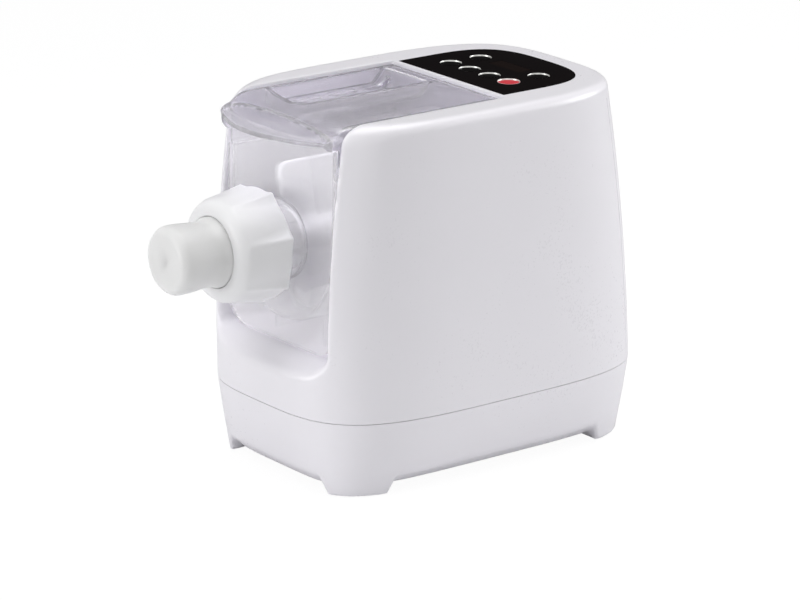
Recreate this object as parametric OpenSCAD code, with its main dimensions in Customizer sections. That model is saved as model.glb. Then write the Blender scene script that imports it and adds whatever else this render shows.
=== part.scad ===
// Electric pasta maker: a kneading chamber with a screw nozzle, driven by a geared motor in a moulded body.
// X runs across the machine, Y from the nozzle (front, negative) to the back, Z up.
// Distances called front and rear are measured along Y from the machine plane, near the back of the chamber.

/* [Body] */
// Height of the body, feet included
body_h = 290; // [286:1:320]
// Height of the seam between base and housing
seam_h = 62; // [52:1:72]
// Height at which the front bulges most
waist_h = 170; // [150:1:190]
// Width at the floor
foot_w = 183; // [176:1:190]
// Width at the seam
seam_w = 212; // [208:1:220]
// Width at the top
top_w = 194; // [190:1:204]
// Reach of the front at the floor
foot_front = 146; // [140:1:150]
// Reach of the front at the seam
seam_front = 158; // [154:1:164]
// Reach of the front at the waist
waist_front = 161.5; // [158:0.5:168]
// Reach of the front at the top
top_front = 153.5; // [150:0.5:158]
// Reach of the rear at the floor
foot_rear = 152; // [148:1:156]
// Reach of the rear at the seam
seam_rear = 162.5; // [158:0.5:168]
// Reach of the rear at the waist
waist_rear = 156; // [152:1:162]
// Reach of the rear at the top
top_rear = 139.5; // [136:0.5:146]
// Squareness of the plan outline at the floor
foot_square = 4.6; // [3.6:0.1:5.4]
// Squareness of the plan outline at the seam
seam_square = 3.65; // [3.4:0.05:4.4]
// Squareness of the plan outline at the top
top_square = 3.4; // [3.1:0.1:4]
// Radius of the edge between side and top
side_round = 8; // [6:0.5:10]
// Radius of the edge between front and top
front_round = 20; // [16:0.5:24]
// Thickness of the moulded walls
wall = 3; // [2:0.1:3.6]
// Thickness of the top wall
top_wall = 4.5; // [4:0.1:6]

/* [Base] */
// Height of the lower edge of the skirt between the feet
skirt_h = 7; // [6:0.5:9]
// Height where the bevel of the skirt starts
bevel_h = 17; // [15:0.5:20]
// How far the bevel runs inwards
bevel_in = 9; // [7:0.5:11]
// Length of a foot along the front or the rear
foot_across = 30; // [24:1:36]
// Length of a foot along the side
foot_along = 45; // [38:1:50]
// Spread of a foot's flanks towards its root
foot_flare = 6; // [4:0.5:8]
// Radius of a rubber pad
pad_r = 8; // [6:0.5:9]
// Thickness of a rubber pad
pad_t = 4; // [3:0.5:5]
// Part of a pad that stands out of its foot
pad_out = 1; // [0.6:0.1:1.5]
// Distance of the pads from the middle plane
pad_x = 70; // [68:0.5:72]
// Distance of the front pads in front of the machine plane
pad_front = 116; // [112:1:118]
// Distance of the rear pads behind the machine plane
pad_rear = 120; // [116:1:122]
// Thickness of the base floor
floor_t = 3; // [2:0.1:4]
// Radius of the screw posts
post_r = 5; // [4.5:0.1:6]
// Distance of the screw posts from the middle plane
post_x = 76; // [74:0.5:78]
// Distance of the front screw posts in front of the machine plane
post_front = 92; // [88:1:96]
// Distance of the rear screw posts behind the machine plane
post_rear = 96; // [92:1:100]
// Radius of the base screws
screw_r = 1.75; // [1.5:0.05:2]
// Radius of the screw heads
screw_head_r = 3.4; // [3:0.1:3.8]
// Height of the screw heads
screw_head_t = 2; // [1.5:0.1:2.5]
// Length of the base screws under the head
base_screw_l = 64; // [60:1:66]

/* [Bay] */
// Width of the bay that holds the chamber
bay_w = 138; // [136:1:142]
// Distance of the bay's back wall behind the machine plane
bay_rear = 20; // [18:0.5:22]
// Depth of the bay floor under the kneading axis
bay_drop = 82; // [80:1:84]
// Depth of the scoop's lower lip under the bay floor
scoop_drop = 14; // [12:1:16]
// Depth of the scoop in front of the bay floor
scoop_depth = 20; // [17:1:24]
// Corner radius of the scoop
scoop_r = 18; // [14:1:22]

/* [Drive line] */
// Depth of the kneading axis under the body's top
axis_drop = 101; // [100:0.5:103]
// Radius of the output shaft
shaft_r = 6; // [5.7:0.05:6.3]
// Side of the square end of the output shaft
square_w = 8; // [7:0.1:8.1]
// Length of the square end
square_l = 18; // [14:1:22]
// Running clearance of shafts in their bushes
run_gap = 0.05; // [0.02:0.01:0.09]
// Module of the first gear pair
first_module = 1.5; // [1.4:0.05:1.55]
// Teeth of the motor pinion
motor_teeth = 12; // [12:1:12]
// Teeth of the idler's large gear
idler_teeth = 42; // [42:1:42]
// Module of the second gear pair
second_module = 2; // [1.9:0.05:2.05]
// Teeth of the idler's pinion
idler_pinion_teeth = 12; // [12:1:12]
// Teeth of the output gear
output_teeth = 40; // [40:1:40]
// Pressure angle of the teeth
pressure_angle = 25; // [24:0.5:27]
// Backlash at the pitch circle
backlash = 0.16; // [0.1:0.02:0.24]
// Width of the first pair's wheel
first_w = 9; // [7:0.5:10]
// Width of the second pair's wheel
second_w = 12; // [10:0.5:13]
// Radius of the idler and motor shafts
idler_r = 4; // [3.5:0.1:4.4]
// Width of the gearbox
gearbox_w = 100; // [98:1:110]
// Depth of the gearbox
gearbox_d = 34; // [33:0.5:36]
// Thickness of the gearbox walls
gearbox_wall = 3; // [2.5:0.1:3.5]
// Distance between bay wall and gearbox
gearbox_gap = 3; // [2:0.5:4]
// Corner radius of the gearbox
gearbox_round = 14; // [10:1:18]
// Radius of the gearbox and motor screws
case_screw_r = 1.5; // [1.2:0.1:1.8]
// Radius of their heads
case_head_r = 2.8; // [2.4:0.1:3.2]
// Height of their heads
case_head_t = 1.6; // [1.2:0.1:2]
// Length of the gearbox screws
case_screw_l = 15; // [12:1:18]
// Distance of the motor screws from the motor's axis
motor_screw_x = 24; // [20:0.5:28]

/* [Motor] */
// Radius of the motor
motor_r = 36; // [33:0.5:38]
// Length of the motor can
motor_l = 64; // [58:1:68]
// Thickness of the can
motor_wall = 2; // [1.5:0.1:2.5]
// Thickness of each end cap
end_cap_t = 4; // [3:0.5:5]
// Thickness of the magnets
magnet_t = 7; // [6:0.5:8]
// Gap between magnets and rotor
air_gap = 1.2; // [0.8:0.1:2]
// Radius of the cooling fan
fan_r = 29; // [24:1:32]
// Width of the cooling fan
fan_w = 8; // [6:0.5:9]
// Number of fan blades
fan_blades = 9; // [7:1:11]

/* [Chamber] */
// Inner radius of the tub
tub_r = 61; // [58:0.5:62]
// Wall of the tub
tub_wall = 2.5; // [2:0.1:3]
// Depth of the tub's rim under the body's top
rim_drop = 39; // [37:0.5:41]
// Thickness of the rim
rim_t = 2.5; // [2:0.1:3]
// Gap between the chamber and the bay on each side
chamber_gap = 1; // [0.6:0.1:1.5]
// Gap between the tub's back and the bay's back wall
chamber_back_gap = 2.5; // [2:0.1:3]
// Distance of the runners under the tub from the middle plane
runner_x = 30; // [24:1:36]
// Thickness of the front plate
plate_t = 4; // [3:0.1:5]
// Reach of the front plate's outer face
plate_front = 140; // [138:0.5:141]
// Height of the front plate's lower edge over the bay floor
plate_lift = 2.5; // [2:0.5:5]
// Corner radius of the front plate
plate_round = 12; // [8:1:16]

/* [Nozzle] */
// Bore radius of the barrel
barrel_r = 25; // [24:0.5:26]
// Wall of the barrel
barrel_wall = 5.5; // [4.5:0.1:6]
// Reach of the barrel's mouth
barrel_front = 193.5; // [191:0.5:195]
// Height of the thread ridges
thread_h = 3.5; // [2.5:0.1:4]
// Advance of the nut for one turn
thread_pitch = 9; // [8:0.5:10]
// Number of thread ridges on the barrel
thread_ridges = 3; // [2:1:3]
// Thickness of the shaping disc
disc_t = 5; // [4:0.1:6]
// Radius of the holes in the shaping disc
disc_hole_r = 2.6; // [2:0.1:3.2]
// Number of holes in the shaping disc
disc_holes = 8; // [6:1:10]
// Reach of the nut's front face
nut_front = 204; // [203:0.5:206]
// Length of the nut
nut_l = 44; // [41:1:46]
// Radius of the nut's mouth
nut_mouth_r = 27.4; // [27:0.1:28]
// Radius of the nut behind its front edge
nut_front_r = 41; // [40:0.5:42]
// Radius over the nut's grips at the rear
nut_rear_r = 46.8; // [45:0.1:48]
// Number of grips on the nut
nut_grips = 7; // [6:1:9]
// Radius of the hollows between the grips
nut_hollow_r = 80; // [60:5:90]
// Radius at the bottom of the hollows
nut_waist_r = 41; // [39.5:0.1:41]
// Radius of the nut's rounded front edge
nut_round = 8; // [6:0.5:9]
// Length of the cap in front of the nut
cap_out = 43; // [38:0.5:50]
// Radius of the cap's end
cap_end_r = 26.5; // [26:0.1:27]
// Radius of the cap's waist
cap_waist_r = 25; // [24:0.1:25.4]
// Wall of the cap
cap_wall = 2; // [1.5:0.1:2.5]
// Radius of the cap's rounded end
cap_round = 8; // [6:0.5:9]

/* [Kneader] */
// Radius of the kneader's hub
hub_r = 12; // [10:0.5:14]
// Reach of the kneader's wings
wing_r = 57; // [52:0.5:58]
// Thickness of a wing
wing_t = 6; // [5:0.5:8]
// Length of the kneader's winged part along the axis
wing_l = 128; // [120:1:130]
// Length of the upright wing at the front
tall_wing_l = 66; // [56:1:72]
// Length of the hanging wing at the front
low_wing_l = 38; // [32:1:44]
// Corner radius of the upright wing
wing_round = 9; // [6:0.5:12]
// Angle of the wings from the vertical
wing_angle = 12; // [6:1:20]
// Radius of the pressing screw
screw_flight_r = 23; // [22:0.5:23.5]
// Thickness of the screw's flight
flight_t = 7; // [5:0.5:9]
// Turns of the pressing screw
flight_turns = 1.75; // [1.5:0.25:2.25]

/* [Lid] */
// Gap between lid and bay on each side
lid_gap = 1.5; // [1:0.1:2]
// Gap between lid and bay at the back
lid_back_gap = 0.5; // [0.4:0.1:0.8]
// Depth of the lid's top below the body's top
lid_drop = 1.5; // [1:0.1:2]
// Thickness of the lid
lid_t = 2.4; // [2:0.1:3]
// Radius of the lid's rear edge, around the hinge
lid_edge_r = 4; // [3.5:0.1:4.5]
// Reach of the lid's front wall
lid_front = 142; // [141:0.5:143]
// Radius of the lid's rolled front
lid_roll_r = 30; // [26:1:32]
// Gap between the lid's sides and the chamber's rim
lid_seat_gap = 0.6; // [0.5:0.1:1]
// Depth of the lower edge of the lid's front wall under the body's top
lid_skirt_drop = 34; // [32:0.5:34.5]
// Reach of the grip lip in the middle of the lid's front
grip_front = 172; // [166:1:176]
// Depth of the grip lip's lower edge under the body's top
grip_drop = 14.5; // [13:0.5:16]
// Height of the grip lip
grip_h = 4.5; // [4:0.5:6]
// Bow radius of the grip lip
grip_bow_r = 93; // [86:1:110]
// Radius of the ears at the ends of the grip lip
grip_ear_r = 8; // [6:0.5:9]
// Distance of the pour tray's inner side from the middle plane
tray_side = 13; // [10:1:18]
// Depth of the pour tray
tray_depth = 12; // [10:0.5:14]
// Reach of the pour tray's front
tray_front = 101; // [96:1:104]
// Radius of the tray's front corner
tray_r = 14; // [10:1:18]
// Length of a pour slot
slot_l = 26; // [22:1:28]
// Width of a pour slot
slot_w = 7; // [6:0.5:8]
// Number of pour slots
slots = 3; // [2:1:3]
// Radius of the hinge pins
pin_r = 2.5; // [2.2:0.1:2.7]
// Opening angle of the lid
lid_open = 75; // [60:1:80]

/* [Lid switch] */
// Radius of the cam on the hinge pin
cam_r = 6; // [5.6:0.1:6.4]
// Travel of the switch plunger over the lid's opening
plunger_travel = 1.5; // [1:0.1:1.8]
// Radius of the switch plunger
plunger_r = 1.4; // [1.2:0.1:1.6]
// Length of the lid switch
switch_l = 18; // [16:1:20]
// Gap between cam and plunger
cam_gap = 0.3; // [0.3:0.05:0.4]

/* [Control panel] */
// Half width of the panel
panel_x = 64.5; // [63.5:0.5:66]
// Distance of the panel's front edge behind the machine plane
panel_front = 23; // [23:0.1:24]
// Distance of the panel's rear edge behind the machine plane
panel_rear = 118; // [114:0.5:119]
// Thickness of the panel
panel_t = 2.4; // [2:0.1:2.6]
// Width of the ledge under the panel's edge
ledge_w = 4; // [3:0.5:5]
// Radius of a button
button_r = 8.9; // [8.5:0.1:9]
// Travel of a button
button_travel = 1.2; // [0.8:0.1:1.4]
// Distance of the outer buttons from the middle plane
button_outer = 35.5; // [34:0.5:37]
// Distance of the inner buttons from the middle plane
button_inner = 12.2; // [11.5:0.1:13]
// Distance of the front button row behind the machine plane
row_front = 52; // [50:0.5:54]
// Distance of the rear button row behind the machine plane
row_rear = 82; // [79:0.5:84]
// Width of the display window
window_w = 38; // [36:1:44]
// Depth of the display window
window_d = 14; // [12:1:15]
// Depth of the circuit board under the body's top
board_drop = 14; // [13:0.5:15]
// Thickness of the circuit boards
board_t = 1.6; // [1.2:0.1:2]
// Width of the panel's circuit board
board_w = 104; // [100:1:108]
// Depth of the panel's circuit board from front to back
board_l = 76; // [72:1:78]
// Distance of that board's front edge behind the machine plane
board_front = 30; // [29:0.5:31]
// Distance of the front board posts from the board's sides
board_post_in = 6; // [5:0.5:7]
// Distance of the rear board posts from the board's sides
board_post_rear_in = 14; // [13:0.5:15]
// Radius of the board posts
board_post_r = 3.2; // [2.8:0.1:3.6]
// Radius of the screws in the board posts
board_screw_r = 1.2; // [1:0.05:1.4]
// Length of the screws in the board posts
board_screw_l = 7.6; // [6:0.2:9]
// Radius of a button's stem
stem_r = 2.2; // [1.8:0.1:2.6]
// Side of a push switch on the board
push_w = 6; // [5:0.5:7]

/* [Power supply] */
// Gap between the gearbox and the power board
power_gap = 12.5; // [11:0.5:14]
// Distance of the power board's front edge behind the machine plane
power_front = 30; // [28:1:33]
// Length of the power board
power_l = 95; // [90:1:98]
// Height of the power board
power_h = 102; // [98:1:106]
// Width of the choke
choke_w = 20; // [16:1:21]
// Length of the choke
choke_l = 30; // [26:1:32]
// Height of the choke
choke_h = 28; // [24:1:30]
// Width of the relay
relay_w = 14; // [12:1:16]
// Length of the relay
relay_l = 24; // [20:1:26]
// Height of the relay
relay_h = 22; // [18:1:24]
// Radius of a capacitor
capacitor_r = 7; // [5:0.5:8]
// Length of a capacitor
capacitor_l = 17; // [14:1:20]
// Width of the heat sink
sink_w = 10; // [8:1:11]
// Length of the heat sink
sink_l = 18; // [14:1:19]
// Height of the heat sink
sink_h = 20; // [16:1:22]
// Gap between the parts on the power board
parts_gap = 8; // [6:0.5:9]
// Width of the cable's connectors
connector_w = 5; // [4:0.5:6]
// Length of the cable's connectors
connector_l = 12; // [10:0.5:13]
// Height of the connector under the panel's board
connector_h = 5; // [4:0.5:6]
// Thickness of the ribbon cable
ribbon_t = 1; // [0.6:0.1:1.4]

/* [Cord inlet] */
// Bore radius of the cord gland
cord_r = 3.6; // [3:0.1:4]
// Radius of the gland's neck
gland_r = 7; // [6.5:0.1:8]
// Radius of the gland's flange
gland_flange_r = 10; // [9.5:0.1:11]
// Distance of the gland from the middle plane
gland_x = 45; // [40:1:50]
// Height of the gland
gland_h = 34; // [30:1:38]
// Distance of the gland's seat behind the machine plane
gland_seat = 152; // [151:0.5:153]

// Width of the cord clamp
clamp_w = 22; // [20:1:24]
// Length of the cord clamp
clamp_l = 10; // [8:0.5:12]
// Distance between gland seat and cord clamp
clamp_gap = 24; // [22:1:28]

/* [Stands] */
// Width of the gearbox stand
stand_w = 80; // [70:1:86]
// Thickness of the folded steel stands
stand_t = 4; // [3:0.5:5]
// Width of the motor cradle
cradle_w = 48; // [44:1:54]
// Length of the motor cradle
cradle_l = 24; // [20:1:28]

/* [Vents] */
// Number of air slots in the back
vents = 7; // [5:1:8]
// Height of an air slot
vent_h = 3; // [2:0.5:4]
// Distance between air slots
vent_pitch = 8; // [7:0.5:9]
// Width of an air slot
vent_w = 74; // [60:2:80]
// Height of the lowest air slot
vent_low = 78; // [74:1:84]

/* [Hidden] */
$fn = 48;
ring_points = 48;
eps = 0.01;
seam_gap = 0.3;

// Levels of the body
axis_h = body_h - axis_drop;
bay_floor_h = axis_h - bay_drop;
scoop_h = bay_floor_h - scoop_drop;
rim_h = body_h - rim_drop;
lid_skirt_h = body_h - lid_skirt_drop;
plate_low = bay_floor_h + plate_lift;
grip_low = body_h - grip_drop;
mid_round_h = body_h - side_round;
floor_top = skirt_h + floor_t;
half_bay = bay_w / 2;
deck_h = body_h - top_wall;

// Drive line
first_distance = first_module * (motor_teeth + idler_teeth) / 2;
second_distance = second_module * (idler_pinion_teeth + output_teeth) / 2;
idler_h = axis_h - second_distance;
motor_h = idler_h - first_distance;
gearbox_front = bay_rear + wall + gearbox_gap;
gearbox_rear = gearbox_front + gearbox_d;
gear_gap = 1.2;
second_pair_y = gearbox_front + gearbox_wall + gear_gap;
first_pair_y = second_pair_y + second_w + 2.5 * gear_gap;
output_tip_r = second_module * (output_teeth / 2 + 1);
motor_tip_r = first_module * (motor_teeth / 2 + 1);
gearbox_low = motor_h - motor_tip_r - gear_gap - gearbox_wall - 8;
gearbox_high = axis_h + output_tip_r + gear_gap + gearbox_wall + 1;
case_screws = [for (x = [-1, 1], z = [gearbox_low + 7, gearbox_high - 7]) [x * (gearbox_w / 2 - 7), z]];
motor_front = gearbox_rear;
can_front = motor_front + end_cap_t;
can_rear = can_front + motor_l;
motor_rear = can_rear + end_cap_t;
core_r = motor_r - motor_wall - magnet_t - air_gap;

// Chamber and nozzle
half_chamber = half_bay - chamber_gap;
tub_out_r = tub_r + tub_wall;
tub_rear = bay_rear - chamber_back_gap;
tub_front = plate_front - plate_t;
runner_low = bay_floor_h + 0.3;
plate_top = lid_skirt_h - 0.6;
barrel_out_r = barrel_r + barrel_wall;
thread_r = barrel_out_r + thread_h;
nut_bore_r = thread_r + seam_gap;
disc_front = barrel_front + disc_t;
nut_face_y = disc_front + seam_gap;
nut_rear = nut_front - nut_l;
grip_angle = 17;
cap_front = nut_front + cap_out;
cap_rear = nut_face_y;
cap_mouth_r = nut_mouth_r - seam_gap;

// Lid and hinge
half_lid = half_bay - lid_gap;
lid_top = body_h - lid_drop;
lid_rear = bay_rear - lid_back_gap;
hinge_y = lid_rear - lid_edge_r;
hinge_h = lid_top - lid_edge_r;
lid_low = rim_h + lid_seat_gap;
pin_out = half_bay + wall - 0.3;
cam_from = half_bay + wall + 1.2;
cam_w = 5;
plunger_top = hinge_h - cam_r - cam_gap;
switch_top = plunger_top - 3;

// Overall reach, used to centre the whole machine on its origin
centre_shift = (cap_front - seam_rear) / 2;

// ---- Shared shapes ----

module placed() {
    translate([0, centre_shift, 0]) children();
}

// Prism along Y of a shape drawn across the machine (x, z)
module along_y(from, to) {
    translate([0, to, 0]) rotate([90, 0, 0]) linear_extrude(to - from) children();
}

// Prism along X of a shape drawn from the side (y, z)
module along_x(from, to) {
    translate([from, 0, 0]) rotate([90, 0, 90]) linear_extrude(to - from) children();
}

module rod_y(r, from, to, x = 0, z = 0) {
    translate([x, to, z]) rotate([90, 0, 0]) cylinder(r = r, h = to - from);
}

module rod_x(r, from, to, y, z) {
    translate([from, y, z]) rotate([0, 90, 0]) cylinder(r = r, h = to - from);
}

module ring_y(outer, inner, from, to, x = 0, z = 0) {
    difference() {
        rod_y(outer, from, to, x, z);
        rod_y(inner, from - eps, to + eps, x, z);
    }
}

module box(low, high) {
    translate(low) cube(high - low);
}

module rounded_rect(low, high, r) {
    translate([low[0] + r, low[1]]) square([high[0] - low[0] - 2 * r, high[1] - low[1]]);
    translate([low[0], low[1] + r]) square([high[0] - low[0], high[1] - low[1] - 2 * r]);
    for (x = [low[0] + r, high[0] - r], y = [low[1] + r, high[1] - r]) translate([x, y]) circle(r);
}

function arc(cx, cy, r, from, to, steps = 8) =
    [for (i = [0 : steps]) let (a = from + (to - from) * i / steps) [cx + r * cos(a), cy + r * sin(a)]];

// ---- Body outline: a rounded oblong ring at any height ----

function parabola(h, low, mid, high) =
    let (a = seam_h, b = waist_h, c = mid_round_h)
    low * (h - b) * (h - c) / ((a - b) * (a - c)) + mid * (h - a) * (h - c) / ((b - a) * (b - c))
    + high * (h - a) * (h - b) / ((c - a) * (c - b));
function mix(h, h0, h1, v0, v1) = v0 + (v1 - v0) * (h - h0) / (h1 - h0);
function side_at(h) = h < seam_h ? mix(h, 0, seam_h, foot_w, seam_w) / 2
    : mix(min(h, mid_round_h), seam_h, mid_round_h, seam_w, top_w) / 2;
function front_at(h) = h < seam_h ? mix(h, 0, seam_h, foot_front, seam_front)
    : parabola(min(h, mid_round_h), seam_front, waist_front, top_front);
function rear_at(h) = h < seam_h ? mix(h, 0, seam_h, foot_rear, seam_rear)
    : parabola(min(h, mid_round_h), seam_rear, waist_rear, top_rear);
function square_at(h) = h < seam_h ? mix(h, 0, seam_h, foot_square, seam_square)
    : mix(h, seam_h, body_h, seam_square, top_square);
function round_inset(h, top, r) = h > top - r ? r - sqrt(max(0, r * r - pow(h - top + r, 2))) : 0;

function ring(h, inset, top) =
    let (
        a = side_at(h) - inset - round_inset(h, top, side_round),
        front = front_at(h) - inset - round_inset(h, top, front_round),
        rear = rear_at(h) - inset - round_inset(h, top, side_round),
        n = 2 / square_at(h), mid = (rear - front) / 2, half = (rear + front) / 2
    )
    [for (i = [0 : ring_points - 1]) let (c = cos(360 * i / ring_points), s = sin(360 * i / ring_points))
        [a * sign(c) * pow(abs(c), n), mid + half * sign(s) * pow(abs(s), n), h]];

// Closed solid through the body's rings at the given heights
module body_solid(heights, inset, top = 4 * body_h) {
    loft([for (h = heights) ring(h, inset, top)]);
}

module loft(rings) {
    n = len(rings[0]);
    last = len(rings) - 1;
    polyhedron(
        points = [for (r = rings, p = r) p],
        faces = concat(
            [[for (i = [0 : n - 1]) i]],
            [for (k = [0 : last - 1], i = [0 : n - 1]) let (j = (i + 1) % n)
                [k * n + i, (k + 1) * n + i, k * n + j]],
            [for (k = [0 : last - 1], i = [0 : n - 1]) let (j = (i + 1) % n)
                [k * n + j, (k + 1) * n + i, (k + 1) * n + j]],
            [[for (i = [n - 1 : -1 : 0]) last * n + i]]
        )
    );
}

outer_heights = [seam_h, 98, 134, waist_h, 206, 238, body_h - front_round, body_h - 12, mid_round_h,
    body_h - 4, body_h - 1.5, body_h];
inner_heights = [seam_h - 1, waist_h, 238, body_h - front_round, mid_round_h, deck_h - 1, deck_h];

// ---- Base ----

module foot_block(sx, sy) {
    along = (sy < 0 ? foot_front : foot_rear) - foot_along;
    across = foot_w / 2 - foot_across;
    outside = seam_w + seam_rear;
    mirror([sx < 0 ? 1 : 0, 0, 0]) mirror([0, sy < 0 ? 1 : 0, 0]) hull() {
        translate([across, along, pad_out]) cube([outside, outside, eps]);
        translate([across - foot_flare, along - foot_flare, bevel_h]) cube([outside, outside, eps]);
    }
}

// The posts of one side, then their mirror images, so that +X points outwards at each of them
module post_places() {
    for (side = [0, 1], y = [-post_front, post_rear]) mirror([side, 0, 0]) translate([post_x, y, 0]) children();
}

module pad_places() {
    for (x = [-pad_x, pad_x], y = [-pad_front, pad_rear]) translate([x, y, 0]) children();
}

module base_shell() color("#eceaee") difference() {
    union() {
        difference() {
            union() {
                body_solid([bevel_h, seam_h], 0);
                loft([ring(skirt_h, bevel_in, 4 * body_h), ring(bevel_h, 0, 4 * body_h)]);
                for (sx = [-1, 1], sy = [-1, 1]) intersection() {
                    foot_block(sx, sy);
                    body_solid([pad_out, bevel_h], 0);
                }
            }
            body_solid([floor_top, seam_h + 1], bevel_in + 1);
            body_solid([bevel_h + 4, seam_h + 1], wall);
        }
        translate([0, 0, skirt_h]) post_places() cylinder(r = post_r, h = seam_h - skirt_h);
        rod_y(gland_r + 3, gland_seat - 12, gland_seat, -gland_x, gland_h);
    }
    pad_places() translate([0, 0, -1]) cylinder(r = pad_r, h = pad_t + 1);
    translate([0, 0, -1]) post_places() {
        cylinder(r = screw_r + 0.2, h = seam_h + 2);
        cylinder(r = screw_head_r + 0.4, h = floor_top + 1);
    }
    rod_y(gland_flange_r + 0.3, gland_seat, seam_rear + 5, -gland_x, gland_h);
    rod_y(gland_r, gland_seat - 15, gland_seat + 1, -gland_x, gland_h);
}

module foot_pads() color("#5a5a5e") pad_places() cylinder(r = pad_r, h = pad_t);

module base_screws() color("#b8b8bc") translate([0, 0, floor_top]) post_places() {
    cylinder(r = screw_r, h = base_screw_l);
    translate([0, 0, -screw_head_t]) cylinder(r = screw_head_r, h = screw_head_t);
}

// ---- Housing ----

// Side outline of the bay; grow gives the outside of its walls
function bay_outline(grow) =
    let (start = plate_front + 1, low = -start - scoop_depth - scoop_depth) [
        [bay_rear + grow, bay_floor_h - grow], [-start + grow / 2, bay_floor_h - grow],
        [-start - scoop_depth + grow / 2, scoop_h - grow], [low, scoop_h - grow],
        [low, body_h + front_round], [bay_rear + grow, body_h + front_round]
    ];

module bay_space() intersection() {
    along_x(-half_bay, half_bay) polygon(bay_outline(0));
    along_y(-2 * plate_front, bay_rear)
        rounded_rect([-half_bay, scoop_h], [half_bay, body_h + 2 * front_round], scoop_r);
}

function panel_outline(inset) =
    let (a = panel_x - inset, mid = row_front, b = panel_rear - inset - mid, n = 2 / 3.2) concat(
        [[-a, panel_front + inset], [a, panel_front + inset]],
        [for (i = [0 : 32]) let (t = 180 * i / 32)
            [a * sign(cos(t)) * pow(abs(cos(t)), n), mid + b * pow(max(0, sin(t)), n)]]
    );

module slab(low, high) {
    translate([0, 0, low]) linear_extrude(high - low) children();
}

seal_r = 2 * shaft_r + 2;
boss_h = 8 * wall;

module housing_shell() color("#eceaee") difference() {
    body_solid(outer_heights, 0, body_h);
    difference() {
        body_solid(inner_heights, wall, deck_h);
        along_x(-half_bay - wall, half_bay + wall) polygon(bay_outline(wall));
        translate([0, 0, seam_h - 2]) post_places() {
            cylinder(r = post_r, h = boss_h + 2);
            translate([0, -wall / 2, 0]) cube([seam_w / 2 - post_x, wall, boss_h + 2]);
        }
    }
    bay_space();
    translate([0, 0, seam_h - 1]) post_places() cylinder(r = screw_r, h = boss_h - 4);
    slab(body_h - panel_t, body_h + 1) polygon(panel_outline(-0.15));
    slab(deck_h - 1, body_h) polygon(panel_outline(ledge_w));
    rod_y(seal_r, bay_rear - 1, bay_rear + wall + 1, 0, axis_h);
    rod_x(pin_r + run_gap, -half_bay - wall - 1, half_bay + wall + 1, hinge_y, hinge_h);
    rod_x(pin_r + 1.8, half_bay + wall, cam_from + cam_w + 2, hinge_y, hinge_h);
    for (i = [0 : vents - 1]) translate([-vent_w / 2, post_rear + 20, vent_low + i * vent_pitch])
        cube([vent_w, seam_rear, vent_h]);
}

// ---- Control panel ----

button_spots = [[-button_outer, row_rear], [button_outer, row_front], [-button_outer, row_front],
    [-button_inner, row_front], [button_inner, row_front], [button_outer, row_rear]];
board_rear = board_front + board_l;
post_in = [[board_post_in, board_front + 4], [board_post_rear_in, board_rear - 4]];
panel_posts = [for (x = [-1, 1], p = post_in) [x * (board_w / 2 - p[0]), p[1]]];
board_top = body_h - board_drop;
board_low = board_top - board_t;
panel_low = body_h - panel_t;
flange_t = board_t;
stem_low = board_top + 3 * button_travel;
connector_y = [board_rear - 2 - connector_l, board_rear - 2];
connector_x = -board_w / 2 + push_w;

module window_shape() rounded_rect([-window_w / 2, row_rear + 1 - window_d / 2],
    [window_w / 2, row_rear + 1 + window_d / 2], 1.5);

module control_panel() color("#1c1c1e") {
    slab(panel_low, body_h) difference() {
        polygon(panel_outline(0));
        for (p = button_spots) translate(p) circle(button_r + 0.08);
        window_shape();
    }
    slab(board_top, panel_low) for (p = panel_posts) translate(p) difference() {
        circle(board_post_r);
        circle(board_screw_r);
    }
}

module display_window() color("#101014") slab(panel_low, body_h) window_shape();

module display_module() color("#3a3a40")
    box([-window_w / 2 + 1, row_rear - 4, board_top], [window_w / 2 - 1, row_rear + 6, panel_low]);

module panel_board() color("#2f6b46") {
    slab(board_top - board_t, board_top) difference() {
        translate([-board_w / 2, board_front]) square([board_w, board_l]);
        for (p = panel_posts) translate(p) circle(board_screw_r);
    }
    slab(board_top, stem_low - button_travel - 0.1) for (p = button_spots) translate(p)
        square(push_w, center = true);
    box([connector_x, connector_y[0], board_low - connector_h],
        [connector_x + connector_w, connector_y[1], board_low]);
}

module panel_screws() color("#b8b8bc") for (p = panel_posts) translate([p[0], p[1], board_low]) {
    translate([0, 0, -board_screw_r]) cylinder(r = 2 * board_screw_r, h = board_screw_r);
    cylinder(r = board_screw_r, h = board_screw_l);
}

module button(spot, shade) color(shade) translate(spot) {
    translate([0, 0, panel_low - flange_t - 0.1]) cylinder(r = button_r + 1.4, h = flange_t);
    translate([0, 0, panel_low - 0.2]) cylinder(r = button_r, h = panel_t + 0.5);
    translate([0, 0, stem_low]) cylinder(r = stem_r, h = panel_low - stem_low - 1);
}

module power_button() button(button_spots[0], "#1c1c1e");
module start_button() button(button_spots[1], "#c8323c");
module menu_button() button(button_spots[2], "#1c1c1e");
module dough_button() button(button_spots[3], "#1c1c1e");
module pasta_button() button(button_spots[4], "#1c1c1e");
module time_button() button(button_spots[5], "#1c1c1e");

// ---- Electrics ----

board_x = -gearbox_w / 2 - power_gap;
board_high = floor_top + power_h;
power_rear = power_front + power_l;
choke_low = floor_top + parts_gap;
relay_low = choke_low + choke_h + parts_gap;
capacitor_low = relay_low + capacitor_r;
sink_low = board_high - parts_gap - sink_h;
ribbon_x = connector_x + connector_w - ribbon_t;
ribbon_end = board_x + 2 * board_t + ribbon_t;

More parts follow.
